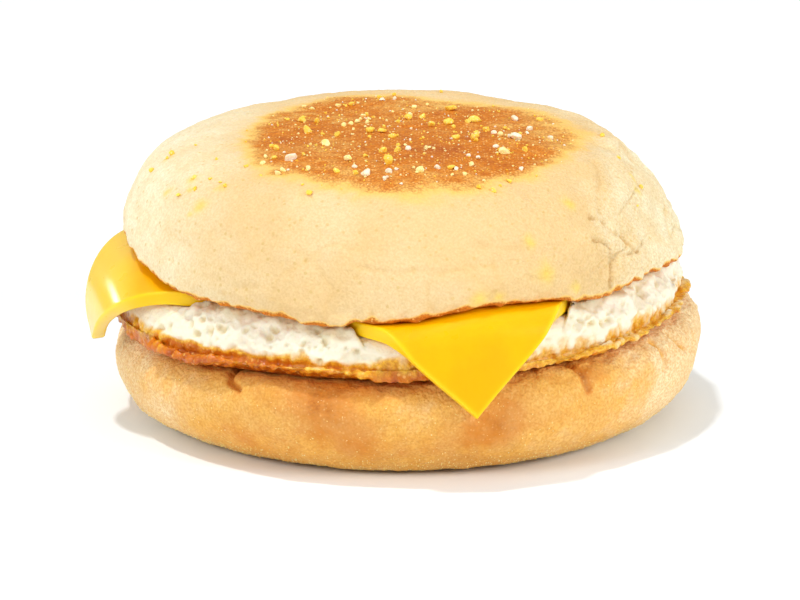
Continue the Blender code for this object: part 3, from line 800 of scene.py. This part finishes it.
egg = {
    "columns": 760,
    "rows": 122,
    "radius": 46.6,
    "shift": -0.6,
    "lip": 1.6,
    "base": 16.5,
    "thickness": 6.9,
    "lift": 0.85,  # the share of the slice's rise that it fills
    "swells": (0.7, 1.4, 1.2),  # its upper edge, further in, and more of it at the right
    "curl": 1.2,
    "heldRadius": 47.2,  # where a corner of the slice hangs over it
    "ragged": ((0.6, 8, 7), (0.3, 4, 8)),
    "scallops": ((0.16, 5.5, 71), (0.10, 2.2, 72)),  # of the fried skirt's upper edge
    "tear": 0.5,  # depth of the torn flakes at the right front
    "finish": {
        "Subsurface Weight": 0.25,
        "Subsurface Scale": 0.0025,
        "Subsurface Radius": (1.0, 0.7, 0.4),
        "Specular IOR Level": 0.4,
    },
    "crumb": {"Grain Size": 0.6, "Speck Size": 0.8, "Speck Share": 0.35},
    "white": colour(248, 238, 212),
    "golden": colour(245, 188, 50),
    "brown": colour(214, 118, 8),
    "dark": colour(174, 78, 8),
    # painted shade in the white's pits and hollows
    "hollow": colour(226, 206, 150),
    # painted shade where the white goes in under the crown
    "shade": colour(216, 200, 156),
    "grain": colour(186, 94, 10),
    "specks": colour(255, 206, 110),
}


# underside, crisp lip, side and upper edge of the egg
def eggProfile():
    radius, base, top = egg["radius"], egg["base"], egg["base"] + egg["thickness"]
    lip = arcPoints((radius, base + 1.5), egg["lip"], 0.9, -90, 50, points=80)
    side = arcPoints((radius - 3.2, top - 3.6), 3.2, 3.6, -25, 90, power=(2.6, 2.0), points=120)
    outline = [(0.6, base), (radius - 4, base), *lip, *side, (radius - 9, top), (0.6, top)]
    return spaced(outline, egg["rows"], lambda r, h: np.where(r > 38, 1.0, 0.05))


# the profile turned round with an uneven outline, a lip that curls up, and a swollen edge clear of the slice
def eggSurface():
    angle = columnAngles(egg["columns"], lambda degrees: np.where((degrees > 190) & (degrees < 355), 1.35, 1.0))
    profile = eggProfile()
    radius, height = profile.T
    normal = outwardOf(profile)
    point = inSpace(radius, height, angle)
    base, thickness = egg["base"], egg["thickness"]
    free = smoothStep(radius, 41, 45)
    ragged = lumpy(point, *egg["ragged"])
    outline = 0.5 * softNoise(inSpace(egg["radius"], 0, angle), 24, 9)
    wide = radius + (normal[:, 0] * ragged + outline) * free
    beyond = beyondSlice(wide * np.cos(angle), wide * np.sin(angle))
    wide = np.minimum(wide, egg["heldRadius"] + 4 * smoothStep(beyond, 0.2, 2.5))
    clear = smoothStep(beyond, 0.1, 0.9) * smoothStep(radius, 37.5, 40)
    upper = smoothStep(height, base + 3, base + 0.8 * thickness)
    inner = 1 - smoothStep(radius, 42.5, 46)
    swell = egg["swells"][0] + (egg["swells"][1] + egg["swells"][2] * facing(angle, 335, 0.75, 0.93)) * inner
    swell = (swell + 0.6 * softNoise(point, 6, 10)) * clear * upper
    lifted = egg["lift"] * sliceHeight(wide * np.cos(angle), wide * np.sin(angle))
    swell = swell + lifted * upper * smoothStep(radius, 38.5, 43)
    settled = smoothStep(height, base, base + 2)
    rise = normal[:, 1] * ragged * free * settled * (1 - upper * (1 - clear))
    curl = egg["curl"] * facing(angle, 247, 0.93, 0.985)
    curl = curl * smoothStep(radius, 43.5, 47) * (1 - smoothStep(height, base, base + 5))
    ceiling = crownUnderside(wide, angle) - 2 * gap
    high = np.minimum(height + rise + swell + curl, np.where(clear > 0, ceiling, 99.0))
    points = inSpace(wide, high, angle)
    points[..., 0] += egg["shift"] * (1 - smoothStep(high, base + 3, base + thickness))
    points[..., 2] += heelFaceRise(points[..., 0]) * ((base + thickness - high) / thickness).clip(0, 1)
    return points, np.broadcast_to(angle, points.shape[:2]), clear, ceiling


# the white: torn lumps with pits between them and larger flakes at the right front; and how hollow each place is, for
# painted shade in the pits and hollows
def eggWhite(points, angle):
    lumps = lumpy(wandering(points, 2.0, 0.6, 73), (0.50, 2.3, 74)) + lumpy(points, (0.30, 1.1, 75), (0.14, 0.6, 76))
    pits = pittedBy(wandering(points, 1.5, 0.4, 77), 2.1, 78, 0.16, 0.42, 0.35)
    smallPits = pittedBy(points, 1.2, 81, 0.15, 0.36, 0.55)
    torn = egg["tear"] * facing(angle, 335, 0.7, 0.93) * softNoise(wandering(points, 3, 1, 101), 2.7, 104)
    poreShade = np.clip(pits * 0.9 + smallPits * 0.5 - 0.9 * torn, 0, 1)
    return 1.1 * lumps - 0.8 * pits - 0.36 * smallPits + torn, poreShade


# bubbles of the fried skirt, taller than wide: deeper as their distance from a scattered point grows
def eggBubbles(points):
    stretched = wandering(points, 3.0, 0.5, 83) * np.array([1.0, 1.0, 0.6])
    distance, number = nearestCell(stretched, 1.4, 84)
    return 0.45 * (0.5 - smoothStep(distance, 0.05, 0.75)) * (0.6 + 0.8 * number)


# how fried it is: a skirt with streaks and dark hollows, darker low and at the left, and a trace above it; the extra
# brown in the hollows between bubbles is painted shade
def eggBrowning(points, level, skirt, bubbles):
    x = points[..., 0]
    foot = 1 - smoothStep(level, 0.02, 0.2)
    # painted shade: deeper brown in the hollows between the bubbles
    hollow = np.clip(0.5 - 1.6 * bubbles, 0, 1)
    lower = 1 - smoothStep(level, 0.05, 0.6)
    streaks = 0.5 * softNoise(points * np.array([1, 1, 0.35]), 1.5, 89)
    leftward = smoothStep(-x, 6, 24) * (1 - smoothStep(-x, 36, 44))
    fried = 0.26 + 0.24 * hollow + 0.34 * streaks + 0.28 * lower + 0.16 * foot
    fried = fried + 0.26 * (leftward - smoothStep(x, 8, 26))
    return skirt * fried + 0.10 * (1 - skirt) * smoothStep(0.75 - level, 0.0, 0.3)


# porous white, with painted shade in its pits and where it goes in under the crown, that turns into a shiny fried
# skirt
def eggMaterial():
    material, tree, shader = newMaterial("friedEgg", egg["finish"])
    crumb = placeGroup(tree, fineCrumb, egg["crumb"])
    coats = (attributeOf(tree, "poreShade"), 0.7, egg["hollow"]), (attributeOf(tree, "shadeUnderCrown"), 0.75, egg["shade"])
    porous = coated(tree, egg["white"], *coats)
    baked = bakedCrust(tree, egg, attributeOf(tree, "brown"), porous, 0.10, 1.6)
    fried = ranged(tree, baked["Amount"], 0.1, 0.4)
    grain = (crumb["Grain"], times(tree, fried, 0.4), egg["grain"])
    specks = (crumb["Specks"], times(tree, fried, 0.5), egg["specks"])
    tree.links.new(coated(tree, baked["Colour"], grain, specks), shader["Base Color"])
    setRoughness(tree, shader, baked["Amount"], 0.42, 0.28)
    addBump(tree, shader, crumb["Height"], 0.25, 0.7)
    return material


# the egg's surface moved along its normals: torn white above, bubbles in the skirt, and still where it is held
def makeEgg():
    points, angle, clear, ceiling = eggSurface()
    normals = gridNormals(points)
    radius = np.hypot(points[..., 0], points[..., 1])
    outer = smoothStep(radius, 39, 43)
    foot = egg["base"] + heelFaceRise(points[..., 0])
    level = (points[..., 2] - foot) / egg["thickness"]  # 0 at its foot, 1 at its upper face
    scallops = lumpy(points, *egg["scallops"])
    skirt = (1 - smoothStep(level, 0.40 + scallops, 0.72 + scallops)) * smoothStep(radius, 41, 43.5)
    white, poreShade = eggWhite(points, angle)
    bubbles = eggBubbles(points)
    fried = bubbles + lumpy(points, (0.2, 3.6, 87), (0.13, 0.7, 88))
    room = np.where(level > 0.7, 0.12 + 0.88 * clear, 1.0) * smoothStep(level, 0.0, 0.12)
    move = blended(white, fried, skirt) * outer * room
    shown = points + normals * move[..., None]
    shown[..., 2] = np.where(clear > 0, np.minimum(shown[..., 2], ceiling + 0.3), shown[..., 2])
    shown[..., 2] = np.maximum(shown[..., 2], egg["base"] - 0.1 + heelFaceRise(shown[..., 0]))
    # painted shade on the white just below the crown's underside, at the front
    shadeUnderCrown = smoothStep(shown[..., 2] + 0.5 * softNoise(points, 3.0, 90) - ceiling, -1.8, -0.5)
    values = {
        "brown": eggBrowning(points, level, skirt, bubbles) * outer,
        "poreShade": poreShade * (1 - skirt),
        "shadeUnderCrown": shadeUnderCrown * smoothStep(-points[..., 1], 6, 20),
    }
    piece = roundSurface("eggRing", shown, values)
    finishPiece(piece, eggMaterial(), "egg")


# underside, lip, side and top of the crown: a small round lip, then a squared-off quarter ellipse
def crownProfile():
    start = crown["base"] + crown["lip"]
    lip = arcPoints((crown["radius"] - crown["lip"], start), crown["lip"], crown["lip"], -90, 0)
    dome = arcPoints((0, start), crown["radius"], crown["top"] - start, 0, 89.9, power=crown["squareness"], points=900)
    outline = [(0.6, crown["base"]), (crown["radius"] - 14, crown["base"]), *lip, *dome[1:], (0.5, crown["top"])]
    above = crown["base"] + 0.5
    return spaced(outline, crown["rows"], lambda r, h: np.where(r > 40, 1.0, np.where(h > above, 0.5, 0.08)))


# the profile turned round, moved along its normals by lumps, raised at the rim, and leant to the left
def crownSurface():
    def crowd(degrees):
        return 1.0 + 0.25 * ((degrees > 190) & (degrees < 300)) + 0.9 * ((degrees >= 300) & (degrees < 350))

    angle = columnAngles(crown["columns"], crowd)
    profile = crownProfile()
    radius, height = profile.T
    normal = outwardOf(profile)
    point = inSpace(radius, height, angle)
    base, top = crown["base"], crown["top"]
    relief = lumpy(point, *crown["relief"]) + 0.5 * softNoise(point, 6, 17) * facing(angle, 335, 0.75, 0.95)
    relief = relief * smoothStep(height, base + 0.2, base + 3)
    nearRim = 1 - smoothStep(height, base + crown["lip"], base + 12)
    raised = (crownUnderside(radius, angle) - base) * nearRim
    slim = crown["slim"] * facing(angle, 0, 0.5, 0.95) * smoothStep(height, base + 2, base + 6)
    slim = slim * (1 - smoothStep(height, top - 5, top - 2))
    high = height + normal[:, 1] * relief + raised
    points = inSpace(radius + normal[:, 0] * relief - slim, high, angle)
    points[..., 0] += crown["lean"] * smoothStep(high, base + 3, top)
    shape = points.shape[:2]
    return points, *(np.broadcast_to(values, shape) for values in (angle, height - base, radius))


# faint sideways wrinkles: where warped noise passes through zero, wide ones and finer ones in some places
def crownWrinkles(points, flat):
    warped = wandering(points, 6, 1.6, 24) * np.array([1, 1, 2.1])
    wide = (1 - np.abs(softNoise(warped, 8, 27))) ** 14
    finer = wandering(points, 3, 0.9, 37) * np.array([1, 1, 1.8])
    fine = 0.7 * (1 - np.abs(softNoise(finer, 3.6, 38))) ** 12 * smoothStep(softNoise(points, 7, 39), 0.0, 0.4)
    return np.maximum(wide, fine) * smoothStep(softNoise(points, 15, 28), -0.3, 0.4) * (1 - flat)


# grooves with low banks along the cracks, broken up by noise; and how cracked each place is
def crownCracks(points, angle, strayed, rows):
    move = crack = np.zeros(points.shape[:2])
    broken = 0.75 + 0.55 * softNoise(points, 1.8, 47)
    for route, depth, width in crown["cracks"]:
        chain = np.array([onSide(points, angle, turn, level, *rows) for turn, level in route])
        distance = toChain(strayed, chain)
        near = broken * np.exp(-((distance / width) ** 2))
        banks = np.exp(-(((distance - 1.2) / 0.8) ** 2))
        move = move - depth * near + 0.2 * depth * banks
        crack = np.maximum(crack, near * min(1.0, depth / 0.5))
    return move, crack


# the browned top and how toasted the crown is: 1 inside the patch's outline, falling over its uneven edge
def crownToast(points, overBase, profileRadius):
    x, y, height = points[..., 0], points[..., 1], points[..., 2]
    offX, offY = x - crown["patchCentre"][0], y - crown["patchCentre"][1]
    streaky = np.stack([x, y * 1.45, height * 0], axis=-1)
    away = np.hypot(offX, offY) / around(crown["patch"], np.arctan2(offY, offX), 4)
    away = away + lumpy(streaky, *crown["patchEdge"])
    patch = (1 - smoothStep(away, 0.88, 1.13)) * smoothStep(height, 41, 45)
    mottled = 0.12 * layeredNoise(streaky, 12, 94, 3) + 0.09 * softNoise(streaky, 2.2, 98)
    mottled = mottled + 0.06 * softNoise(points, 0.9, 99) - 0.14 * smoothStep(x, 10, 28)
    for middleX, middleY, wide, deep, amount in crown["shades"]:
        mottled = mottled + amount * fading(x - middleX, y - middleY, wide, deep)
    halo = 0.15 * (1 - smoothStep(away, 0.95, 1.34))
    toast = blended(halo, crown["patchToast"] + mottled, patch)
    rim = (1 - smoothStep(overBase + 0.5 * softNoise(points, 1.6, 95), 0.35, 1.25)) * smoothStep(profileRadius, 41, 43)
    underneath = (1 - smoothStep(overBase, 0.0, 0.3)) * (1 - smoothStep(profileRadius, 42, 45))
    toast = blended(np.maximum(toast, crown["rimToast"] * rim), crown["undersideToast"], underneath)
    return patch, toast


# floury dough with pits, flecks, stains and cracks, that turns into the browned and speckled top; its pits, wrinkles
# and cracks are darkened as painted shade, and its left and right flanks paled as painted light
def crownMaterial():
    material, tree, shader = newMaterial("crownSkin", crown["finish"])
    crumb = placeGroup(tree, fineCrumb, crown["crumb"])
    flecks = placeGroup(tree, fineCrumb, crown["flecks"])
    rough, toast = attributeOf(tree, "rough"), attributeOf(tree, "toast")
    skin = mixed(tree, attributeOf(tree, "warm"), crown["pale"], crown["warm"])
    flouryAndLit = mixed(tree, attributeOf(tree, "litSidesAndFlour"), skin, crown["white"])
    cloudy = placeGroup(tree, cloudyShade, {"Colour": flouryAndLit, **crown["clouds"]})
    dough = coated(
        tree,
        cloudy["Colour"],
        (attributeOf(tree, "pitShade"), 0.45, crown["hollow"]),
        (flecks["Specks"], 0.42, crown["fleck"]),
        (flecks["Grain"], 0.2, crown["blotch"]),
        (crumb["Grain"], sloped(tree, rough, 0.2, 0.12), crown["grain"]),
        (attributeOf(tree, "stain"), 0.7, crown["stain"]),
        (attributeOf(tree, "crack"), 0.6, crown["split"]),
    )
    baked = bakedCrust(tree, crown, toast, dough, times(tree, ranged(tree, toast, 0.02, 0.3), 0.11), 1.4)
    onTop = ranged(tree, toast, 0.3, 0.5)
    grain = (crumb["Grain"], sloped(tree, onTop, 0.5, 0.07), crown["burnt"])
    specks = (crumb["Specks"], times(tree, onTop, 0.75), crown["spark"])
    tree.links.new(coated(tree, baked["Colour"], grain, specks), shader["Base Color"])
    setRoughness(tree, shader, baked["Amount"], 0.78, 0.5)
    addBump(tree, shader, times(tree, crumb["Height"], sloped(tree, rough, 1.1, 0.9)), 0.28, 0.75)
    return material


# the crown's surface moved along its normals by dough, wrinkles, pits and cracks, with a torn, bready edge
def makeCrown():
    points, angle, overBase, profileRadius = crownSurface()
    normals = gridNormals(points)
    x, y, height = points[..., 0], points[..., 1], points[..., 2]
    flat = smoothStep(height, 44, 46.5)
    crumpled = 0.9 * smoothStep(x, 12, 34)
    rows = int(np.argmax(overBase[0] > crown["lip"])), crown["rows"] - 20
    strayed = wandering(wandering(points, 2.4, 0.6, 33), 0.9, 0.3, 40)
    wrinkles = crownWrinkles(points, flat)
    pits = pittedBy(points, 3.0, 31, 0.10, 0.24, 0.5) * (1 - smoothStep(height, 33, 41))
    grooves, crack = crownCracks(points, angle, strayed, rows)
    dough = lumpy(points, (0.16, 4.2, 21), (0.06, 0.85, 23)) + 0.08 * (1 + crumpled) * softNoise(points, 1.7, 22)
    dough = dough + 0.34 * crumpled * softNoise(points * np.array([1, 1, 1.5]), 3.6, 48)
    move = dough + 0.045 * softNoise(points, 0.7, 29) * flat
    move = move - 0.16 * (1 + crumpled) ** 1.6 * wrinkles - 0.16 * pits + grooves
    outside = smoothStep(overBase, 0.3, 1.6) * smoothStep(profileRadius, 0, 6)
    edge = smoothStep(overBase, -0.2, 0.3) * (1 - smoothStep(overBase, 1.2, 3.0)) * smoothStep(profileRadius, 42, 45)
    move = move * outside + lumpy(points, *crown["torn"]) * edge
    shown = points + normals * move[..., None]
    stain = np.zeros(height.shape)
    for turn, level, width in crown["stains"]:
        spot = onSide(points, angle, turn, level, *rows)
        stain = np.maximum(stain, np.exp(-((np.linalg.norm(strayed - spot, axis=-1) / width) ** 2)))
    warm = smoothStep(37 - height, -4, 9) * smoothStep(-y + 0.4 * x, -10, 30) + 0.2 * softNoise(points, 11, 96)
    # paler towards the far left and far right: painted light where the flanks catch the lamps; the noise terms give
    # floury patches
    litSidesAndFlour = smoothStep(-x + 0.15 * y, 14, 44) + smoothStep(x, 24, 45) + 0.25 * softNoise(points, 13, 97)
    litSidesAndFlour = litSidesAndFlour + 0.18 * softNoise(points, 4.5, 100) + 0.45 * crumpled * softNoise(points, 3.4, 50)
    patch, toast = crownToast(points, overBase, profileRadius)
    values = {
        "toast": toast,
        # darkens the cracks: painted shade in them
        "crack": crack,
        "stain": stain,
        "warm": warm,
        "litSidesAndFlour": litSidesAndFlour,
        # painted shade in the pits and wrinkles
        "pitShade": pits * 0.7 + wrinkles * 0.5 * (1 + crumpled),
        "rough": smoothStep(x + 7 * softNoise(points, 9, 49), 12, 34),
    }
    piece = roundSurface("crownCrust", shown, values)
    finishPiece(piece, crownMaterial(), "crown")
    return shown, gridNormals(shown), patch


# coarse cornmeal on the crown: x, y and half length of each
grits = {
    "yellow": (
        (-5.6, -5.5, 0.89), (-3.5, -6.0, 0.81), (-16.7, 3.9, 0.89), (-14.7, 3.9, 0.89), (3.2, 5.7, 0.89),
        (-2.4, -26.4, 1.2), (-10.9, -6.6, 0.89), (11.4, -9.3, 0.89), (7.9, 10.7, 1.14), (-15.5, -3.6, 1.2),
        (-20.2, -16.3, 0.81), (-1.0, -20.3, 0.81), (5.0, 0.7, 0.81), (7.6, -27.1, 0.81), (11.9, 3.9, 1.06),
        (8.7, -8.7, 0.81), (-3.2, -20.3, 0.89), (13.7, -2.6, 0.81), (7.5, 1.9, 0.89), (-20.6, -21.4, 0.64),
        (-8.7, 15.1, 0.72), (0.8, 5.1, 0.89), (-10.5, -29.7, 0.64), (-13.3, -5.7, 0.55), (-1.8, -9.5, 0.72),
        (-3.9, 18.5, 0.64), (23.1, 4.8, 0.64), (19.9, -14.8, 0.72), (17.1, -0.9, 0.55), (-6.2, 8.0, 0.55),
        (-14.8, -35.1, 0.72), (14.3, -33.2, 0.64), (35.3, -8.5, 0.5), (-33.8, -21.8, 0.55), (-38.5, -9.6, 0.5),
        (-33.3, -24.5, 0.5), (-28.5, -27.2, 0.5), (38.7, -12.6, 0.5), (6.4, 25.6, 0.5),
    ),
    "cream": (
        (16.3, -16.9, 1.06), (-8.8, 0.9, 0.64), (-7.5, 2.5, 0.64), (-12.5, -13.9, 0.97), (2.8, -30.1, 0.81),
        (-8.8, -24.5, 0.89), (3.7, -17.0, 0.55), (-22.3, -23.1, 0.55), (16.2, -7.7, 0.72), (11.1, -25.3, 0.64),
        (-11.0, 14.8, 0.55), (2.0, 12.1, 0.64), (-15.3, -27.9, 0.72), (-16.5, 15.2, 0.5), (9.7, -29.2, 0.5),
    ),
    "white": (
        (18.6, -9.4, 1.2), (18.7, 4.8, 0.89), (-18.3, -22.6, 1.2), (-5.7, -31.2, 0.97), (-2.2, -31.2, 0.72),
        (24.2, -6.4, 0.64), (20.7, -2.0, 0.64), (5.4, -27.7, 0.64), (-1.5, 17.6, 0.5), (0.6, -18.9, 0.64),
        (12.2, -21.6, 0.55),
    ),
    "grown": 0.93,  # how much larger the largest are before they are chipped
    "beside": {"yellow": 46, "cream": 26, "white": 16},  # middling ones near the largest
    "besideSpread": 2.6,
    "besideSizes": (0.28, 0.6),
    "specks": {"yellow": 240, "cream": 260, "white": 90},  # small ones on the browned top
    "speckSizes": (0.10, 0.28),
    "heelCrumbs": 3600,  # fine ones on the heel's side, most of them near its foot
    "crumbSizes": (0.05, 0.15),
    "crumbHeights": (0.6, 14),
    "standOut": 0.38,  # height of each centre over the crust, in half lengths
    "cuts": 7,  # flat places chipped into each
    "seed": 11,
    "colours": {"yellow": (255, 220, 88), "cream": (255, 238, 170), "white": (252, 240, 214)},
    "tints": {"yellow": (250, 194, 40), "cream": (255, 224, 120), "white": (248, 226, 186)},
    "dust": colour(255, 240, 200),
    "finish": {
        "Subsurface Weight": 0.2,
        "Subsurface Scale": 0.001,
        "Subsurface Radius": (1.0, 0.6, 0.2),
        "Specular IOR Level": 0.45,
        "Roughness": 0.45,
    },
}


# points and faces of a ball of triangles of radius 1
def ballOf(subdivisions):
    ball = bmesh.new()
    bmesh.ops.create_icosphere(ball, subdivisions=subdivisions, radius=1)
    points = np.array([vert.co for vert in ball.verts])
    faces = np.array([[vert.index for vert in face.verts] for face in ball.faces])
    ball.free()
    return points, faces


# many crumbs as points and faces: balls chipped flat by random planes, stretched, spun and stood on each normal
def crumbCloud(ball, places, normals, halves, draw):
    points, faces = ball
    count = len(places)
    stretch = np.stack([np.ones(count), draw.uniform(0.55, 0.9, count), draw.uniform(0.6, 0.85, count)], axis=-1)
    spin = draw.uniform(0, math.tau, count)
    chipped = points[None] * draw.uniform(1.0, 1.2, (count, len(points), 1))
    for cut in range(grits["cuts"]):
        way = draw.normal(0, 1, (count, 1, 3))
        way /= np.linalg.norm(way, axis=-1, keepdims=True)
        past = ((chipped * way).sum(axis=-1, keepdims=True) - draw.uniform(0.5, 0.9, (count, 1, 1))).clip(0)
        chipped = chipped - past * way
    local = chipped * stretch[:, None] * halves[:, None, None]
    cosine, sine = np.cos(spin)[:, None], np.sin(spin)[:, None]
    right = local[..., 0] * cosine - local[..., 1] * sine
    ahead = local[..., 0] * sine + local[..., 1] * cosine
    aside = np.cross(normals, np.where(np.abs(normals[:, :1]) < 0.8, (1.0, 0, 0), (0, 1.0, 0)))
    aside /= np.linalg.norm(aside, axis=-1, keepdims=True)
    forward = np.cross(normals, aside)
    placed = right[..., None] * aside[:, None] + ahead[..., None] * forward[:, None]
    placed += local[..., 2:] * normals[:, None]
    placed += (places + normals * (grits["standOut"] * halves)[:, None])[:, None]
    return placed.reshape(-1, 3), (faces[None] + (np.arange(count) * len(points))[:, None, None]).reshape(-1, 3)


# several clouds of crumbs joined into one piece with flat faces
def crumbPiece(name, clouds, material):
    points = np.concatenate([cloud[0] for cloud in clouds])
    starts = np.cumsum([0] + [len(cloud[0]) for cloud in clouds[:-1]])
    faces = np.concatenate([cloud[1] + start for cloud, start in zip(clouds, starts)])
    piece = meshObject(name, points, faces.tolist())
    piece.data.shade_flat()
    finishPiece(piece, material)


def gritMaterial(kind):
    material, tree, shader = newMaterial(kind + "Cornmeal", grits["finish"])
    shades = {"Colour": colour(*grits["colours"][kind]), "Tint": colour(*grits["tints"][kind])}
    cloudy = placeGroup(tree, cloudyShade, {**shades, "Size": 1.0, "Amount": 0.8})
    crumb = placeGroup(tree, fineCrumb, {"Grain Size": 0.3, "Speck Size": 0.4, "Speck Share": 0.3})
    dusty = coated(tree, cloudy["Colour"], (crumb["Specks"], 0.5, grits["dust"]))
    tree.links.new(dusty, shader["Base Color"])
    addBump(tree, shader, crumb["Height"], 0.12, 0.6)
    return material


# for each colour the largest at their places, middling ones beside them and specks on the browned top
def makeGrits(crownPoints, crownNormals, patch, heelPoints, heelNormals):
    draw = np.random.default_rng(grits["seed"])
    large, small = ballOf(2), ballOf(1)
    topRows = crownPoints[0, :, 2] > 38
    flatPoints = crownPoints[:, topRows].reshape(-1, 3)
    flatNormals = crownNormals[:, topRows].reshape(-1, 3)
    likely = (patch[:, topRows].reshape(-1) ** 2) * np.hypot(flatPoints[:, 0], flatPoints[:, 1])
    likely = likely / likely.sum()

    # balls of one size on the points of the crown's top nearest to x and y
    def standing(places, halves):
        distance = np.hypot(flatPoints[:, None, 0] - places[:, 0], flatPoints[:, None, 1] - places[:, 1])
        nearest = distance.argmin(axis=0)
        return crumbCloud(large, flatPoints[nearest], flatNormals[nearest], halves, draw)

    materials = {kind: gritMaterial(kind) for kind in ("yellow", "cream", "white")}
    for kind, material in materials.items():
        wanted = np.array(grits[kind])
        clouds = [standing(wanted[:, :2], wanted[:, 2] * grits["grown"])]
        count = grits["beside"][kind]
        beside = wanted[draw.integers(0, len(wanted), count), :2] + draw.normal(0, grits["besideSpread"], (count, 2))
        clouds.append(standing(beside, draw.uniform(*grits["besideSizes"], count)))
        count = grits["specks"][kind]
        chosen = draw.choice(len(likely), count, p=likely)
        halves = draw.uniform(*grits["speckSizes"], count)
        clouds.append(crumbCloud(small, flatPoints[chosen], flatNormals[chosen], halves, draw))
        crumbPiece("grits" + kind.capitalize(), clouds, material)

    lowest, highest = grits["crumbHeights"]
    side = (heelPoints[..., 2] > lowest) & (heelPoints[..., 2] < highest)
    sidePoints, sideNormals = heelPoints[side], heelNormals[side]
    lower = 0.10 + smoothStep(-sidePoints[:, 2], -5.5, -1.5)
    chosen = draw.choice(len(sidePoints), grits["heelCrumbs"], p=lower / lower.sum())
    halves = draw.uniform(*grits["crumbSizes"], grits["heelCrumbs"])
    cloud = crumbCloud(small, sidePoints[chosen], sideNormals[chosen], halves, draw)
    crumbPiece("heelCrumbs", [cloud], materials["cream"])


stage = {
    "elevation": math.radians(15.5),
    "target": Vector((-0.0005, 0, 0.0173)),
    "distance": 0.635,
    "lens": 170,
    "sensor": 36,
    "sun": 1.22,
    "sunSpread": math.radians(4),
    "sunFrom": (-0.24, -0.02, 1.0),
    "sky": (0.24, 0.74),  # at the horizon and overhead
    "skyColour": (0.94, 0.97, 1.0, 1),
    "backdrop": 1.1,  # how bright what the camera sees behind the floor is
    # soft round lamps: name, place, size and power
    "lamps": (
        ("leftLamp", (-0.56, -0.50, 0.41), 0.35, 2.4),
        ("rightLamp", (0.66, -0.38, 0.37), 0.35, 3.3),
        ("backLamp", (-0.468, 0.369, 0.199), 0.06, 0.14),
    ),
    "floorReach": 4000.0,
    "floor": {"Base Color": (0.92, 0.965, 1.0, 1), "Roughness": 0.9, "Specular IOR Level": 0.1},
}


# a light or camera object in the scene, turned so that it looks from one place towards another
def aimed(name, data, place, target):
    made = bpy.data.objects.new(name, data)
    made.location = place
    made.rotation_euler = (made.location - Vector(target)).to_track_quat("Z", "Y").to_euler()
    bpy.context.scene.collection.objects.link(made)
    return made


# camera, sun, soft lamps, a pale sky that brightens upwards, and the floor
def makeStage():
    scene = bpy.context.scene
    scene.view_settings.view_transform = "Standard"
    rise = stage["elevation"]
    eye = bpy.data.objects.new("camera", bpy.data.cameras.new("camera"))
    eye.data.lens = stage["lens"]
    eye.data.sensor_width = stage["sensor"]
    eye.data.clip_start = 0.01
    eye.location = stage["target"] + Vector((0, -math.cos(rise), math.sin(rise))) * stage["distance"]
    eye.rotation_euler = (math.pi / 2 - rise, 0, 0)
    scene.collection.objects.link(eye)
    scene.camera = eye
    sun = bpy.data.lights.new("keyLight", "SUN")
    sun.energy = stage["sun"]
    sun.angle = stage["sunSpread"]
    aimed("keyLight", sun, stage["sunFrom"], (0, 0, 0)).location = (0, 0, 0)
    for name, place, size, power in stage["lamps"]:
        lamp = bpy.data.lights.new(name, "AREA")
        lamp.shape = "DISK"
        lamp.size = size
        lamp.energy = power
        aimed(name, lamp, place, stage["target"])
    world = bpy.data.worlds.new("studio")
    world.use_nodes = True
    scene.world = world
    tree = world.node_tree
    tree.nodes.clear()
    upward = addNode(tree, "SeparateXYZ", {"Vector": addNode(tree, "TexCoord").outputs["Generated"]}).outputs["Z"]
    horizon, zenith = stage["sky"]
    strength = addNode(tree, "MapRange", {"Value": upward, "To Min": horizon, "To Max": zenith}).outputs["Result"]
    light = addNode(tree, "Background", {"Color": stage["skyColour"], "Strength": strength})
    seen = addNode(tree, "Background", {"Color": (1, 1, 1, 1), "Strength": stage["backdrop"]})
    ray = addNode(tree, "LightPath").outputs["Is Camera Ray"]
    both = addNode(tree, "MixShader", {0: ray, 1: light.outputs[0], 2: seen.outputs[0]})
    addNode(tree, "OutputWorld", {"Surface": both.outputs[0]})
    corners = np.array([(-1, -1, 0), (1, -1, 0), (1, 1, 0), (-1, 1, 0)]) * stage["floorReach"]
    floor = meshObject("floor", corners, [(0, 1, 2, 3)])
    floor.data.materials.append(newMaterial("paleFloor", stage["floor"])[0])
    print("stage set")


makeStage()
heelPoints, heelNormals = makeHeel()
makeEgg()
makeCheese()
crownPoints, crownNormals, brownedTop = makeCrown()
makeGrits(crownPoints, crownNormals, brownedTop, heelPoints, heelNormals)

bpy.context.view_layer.update()
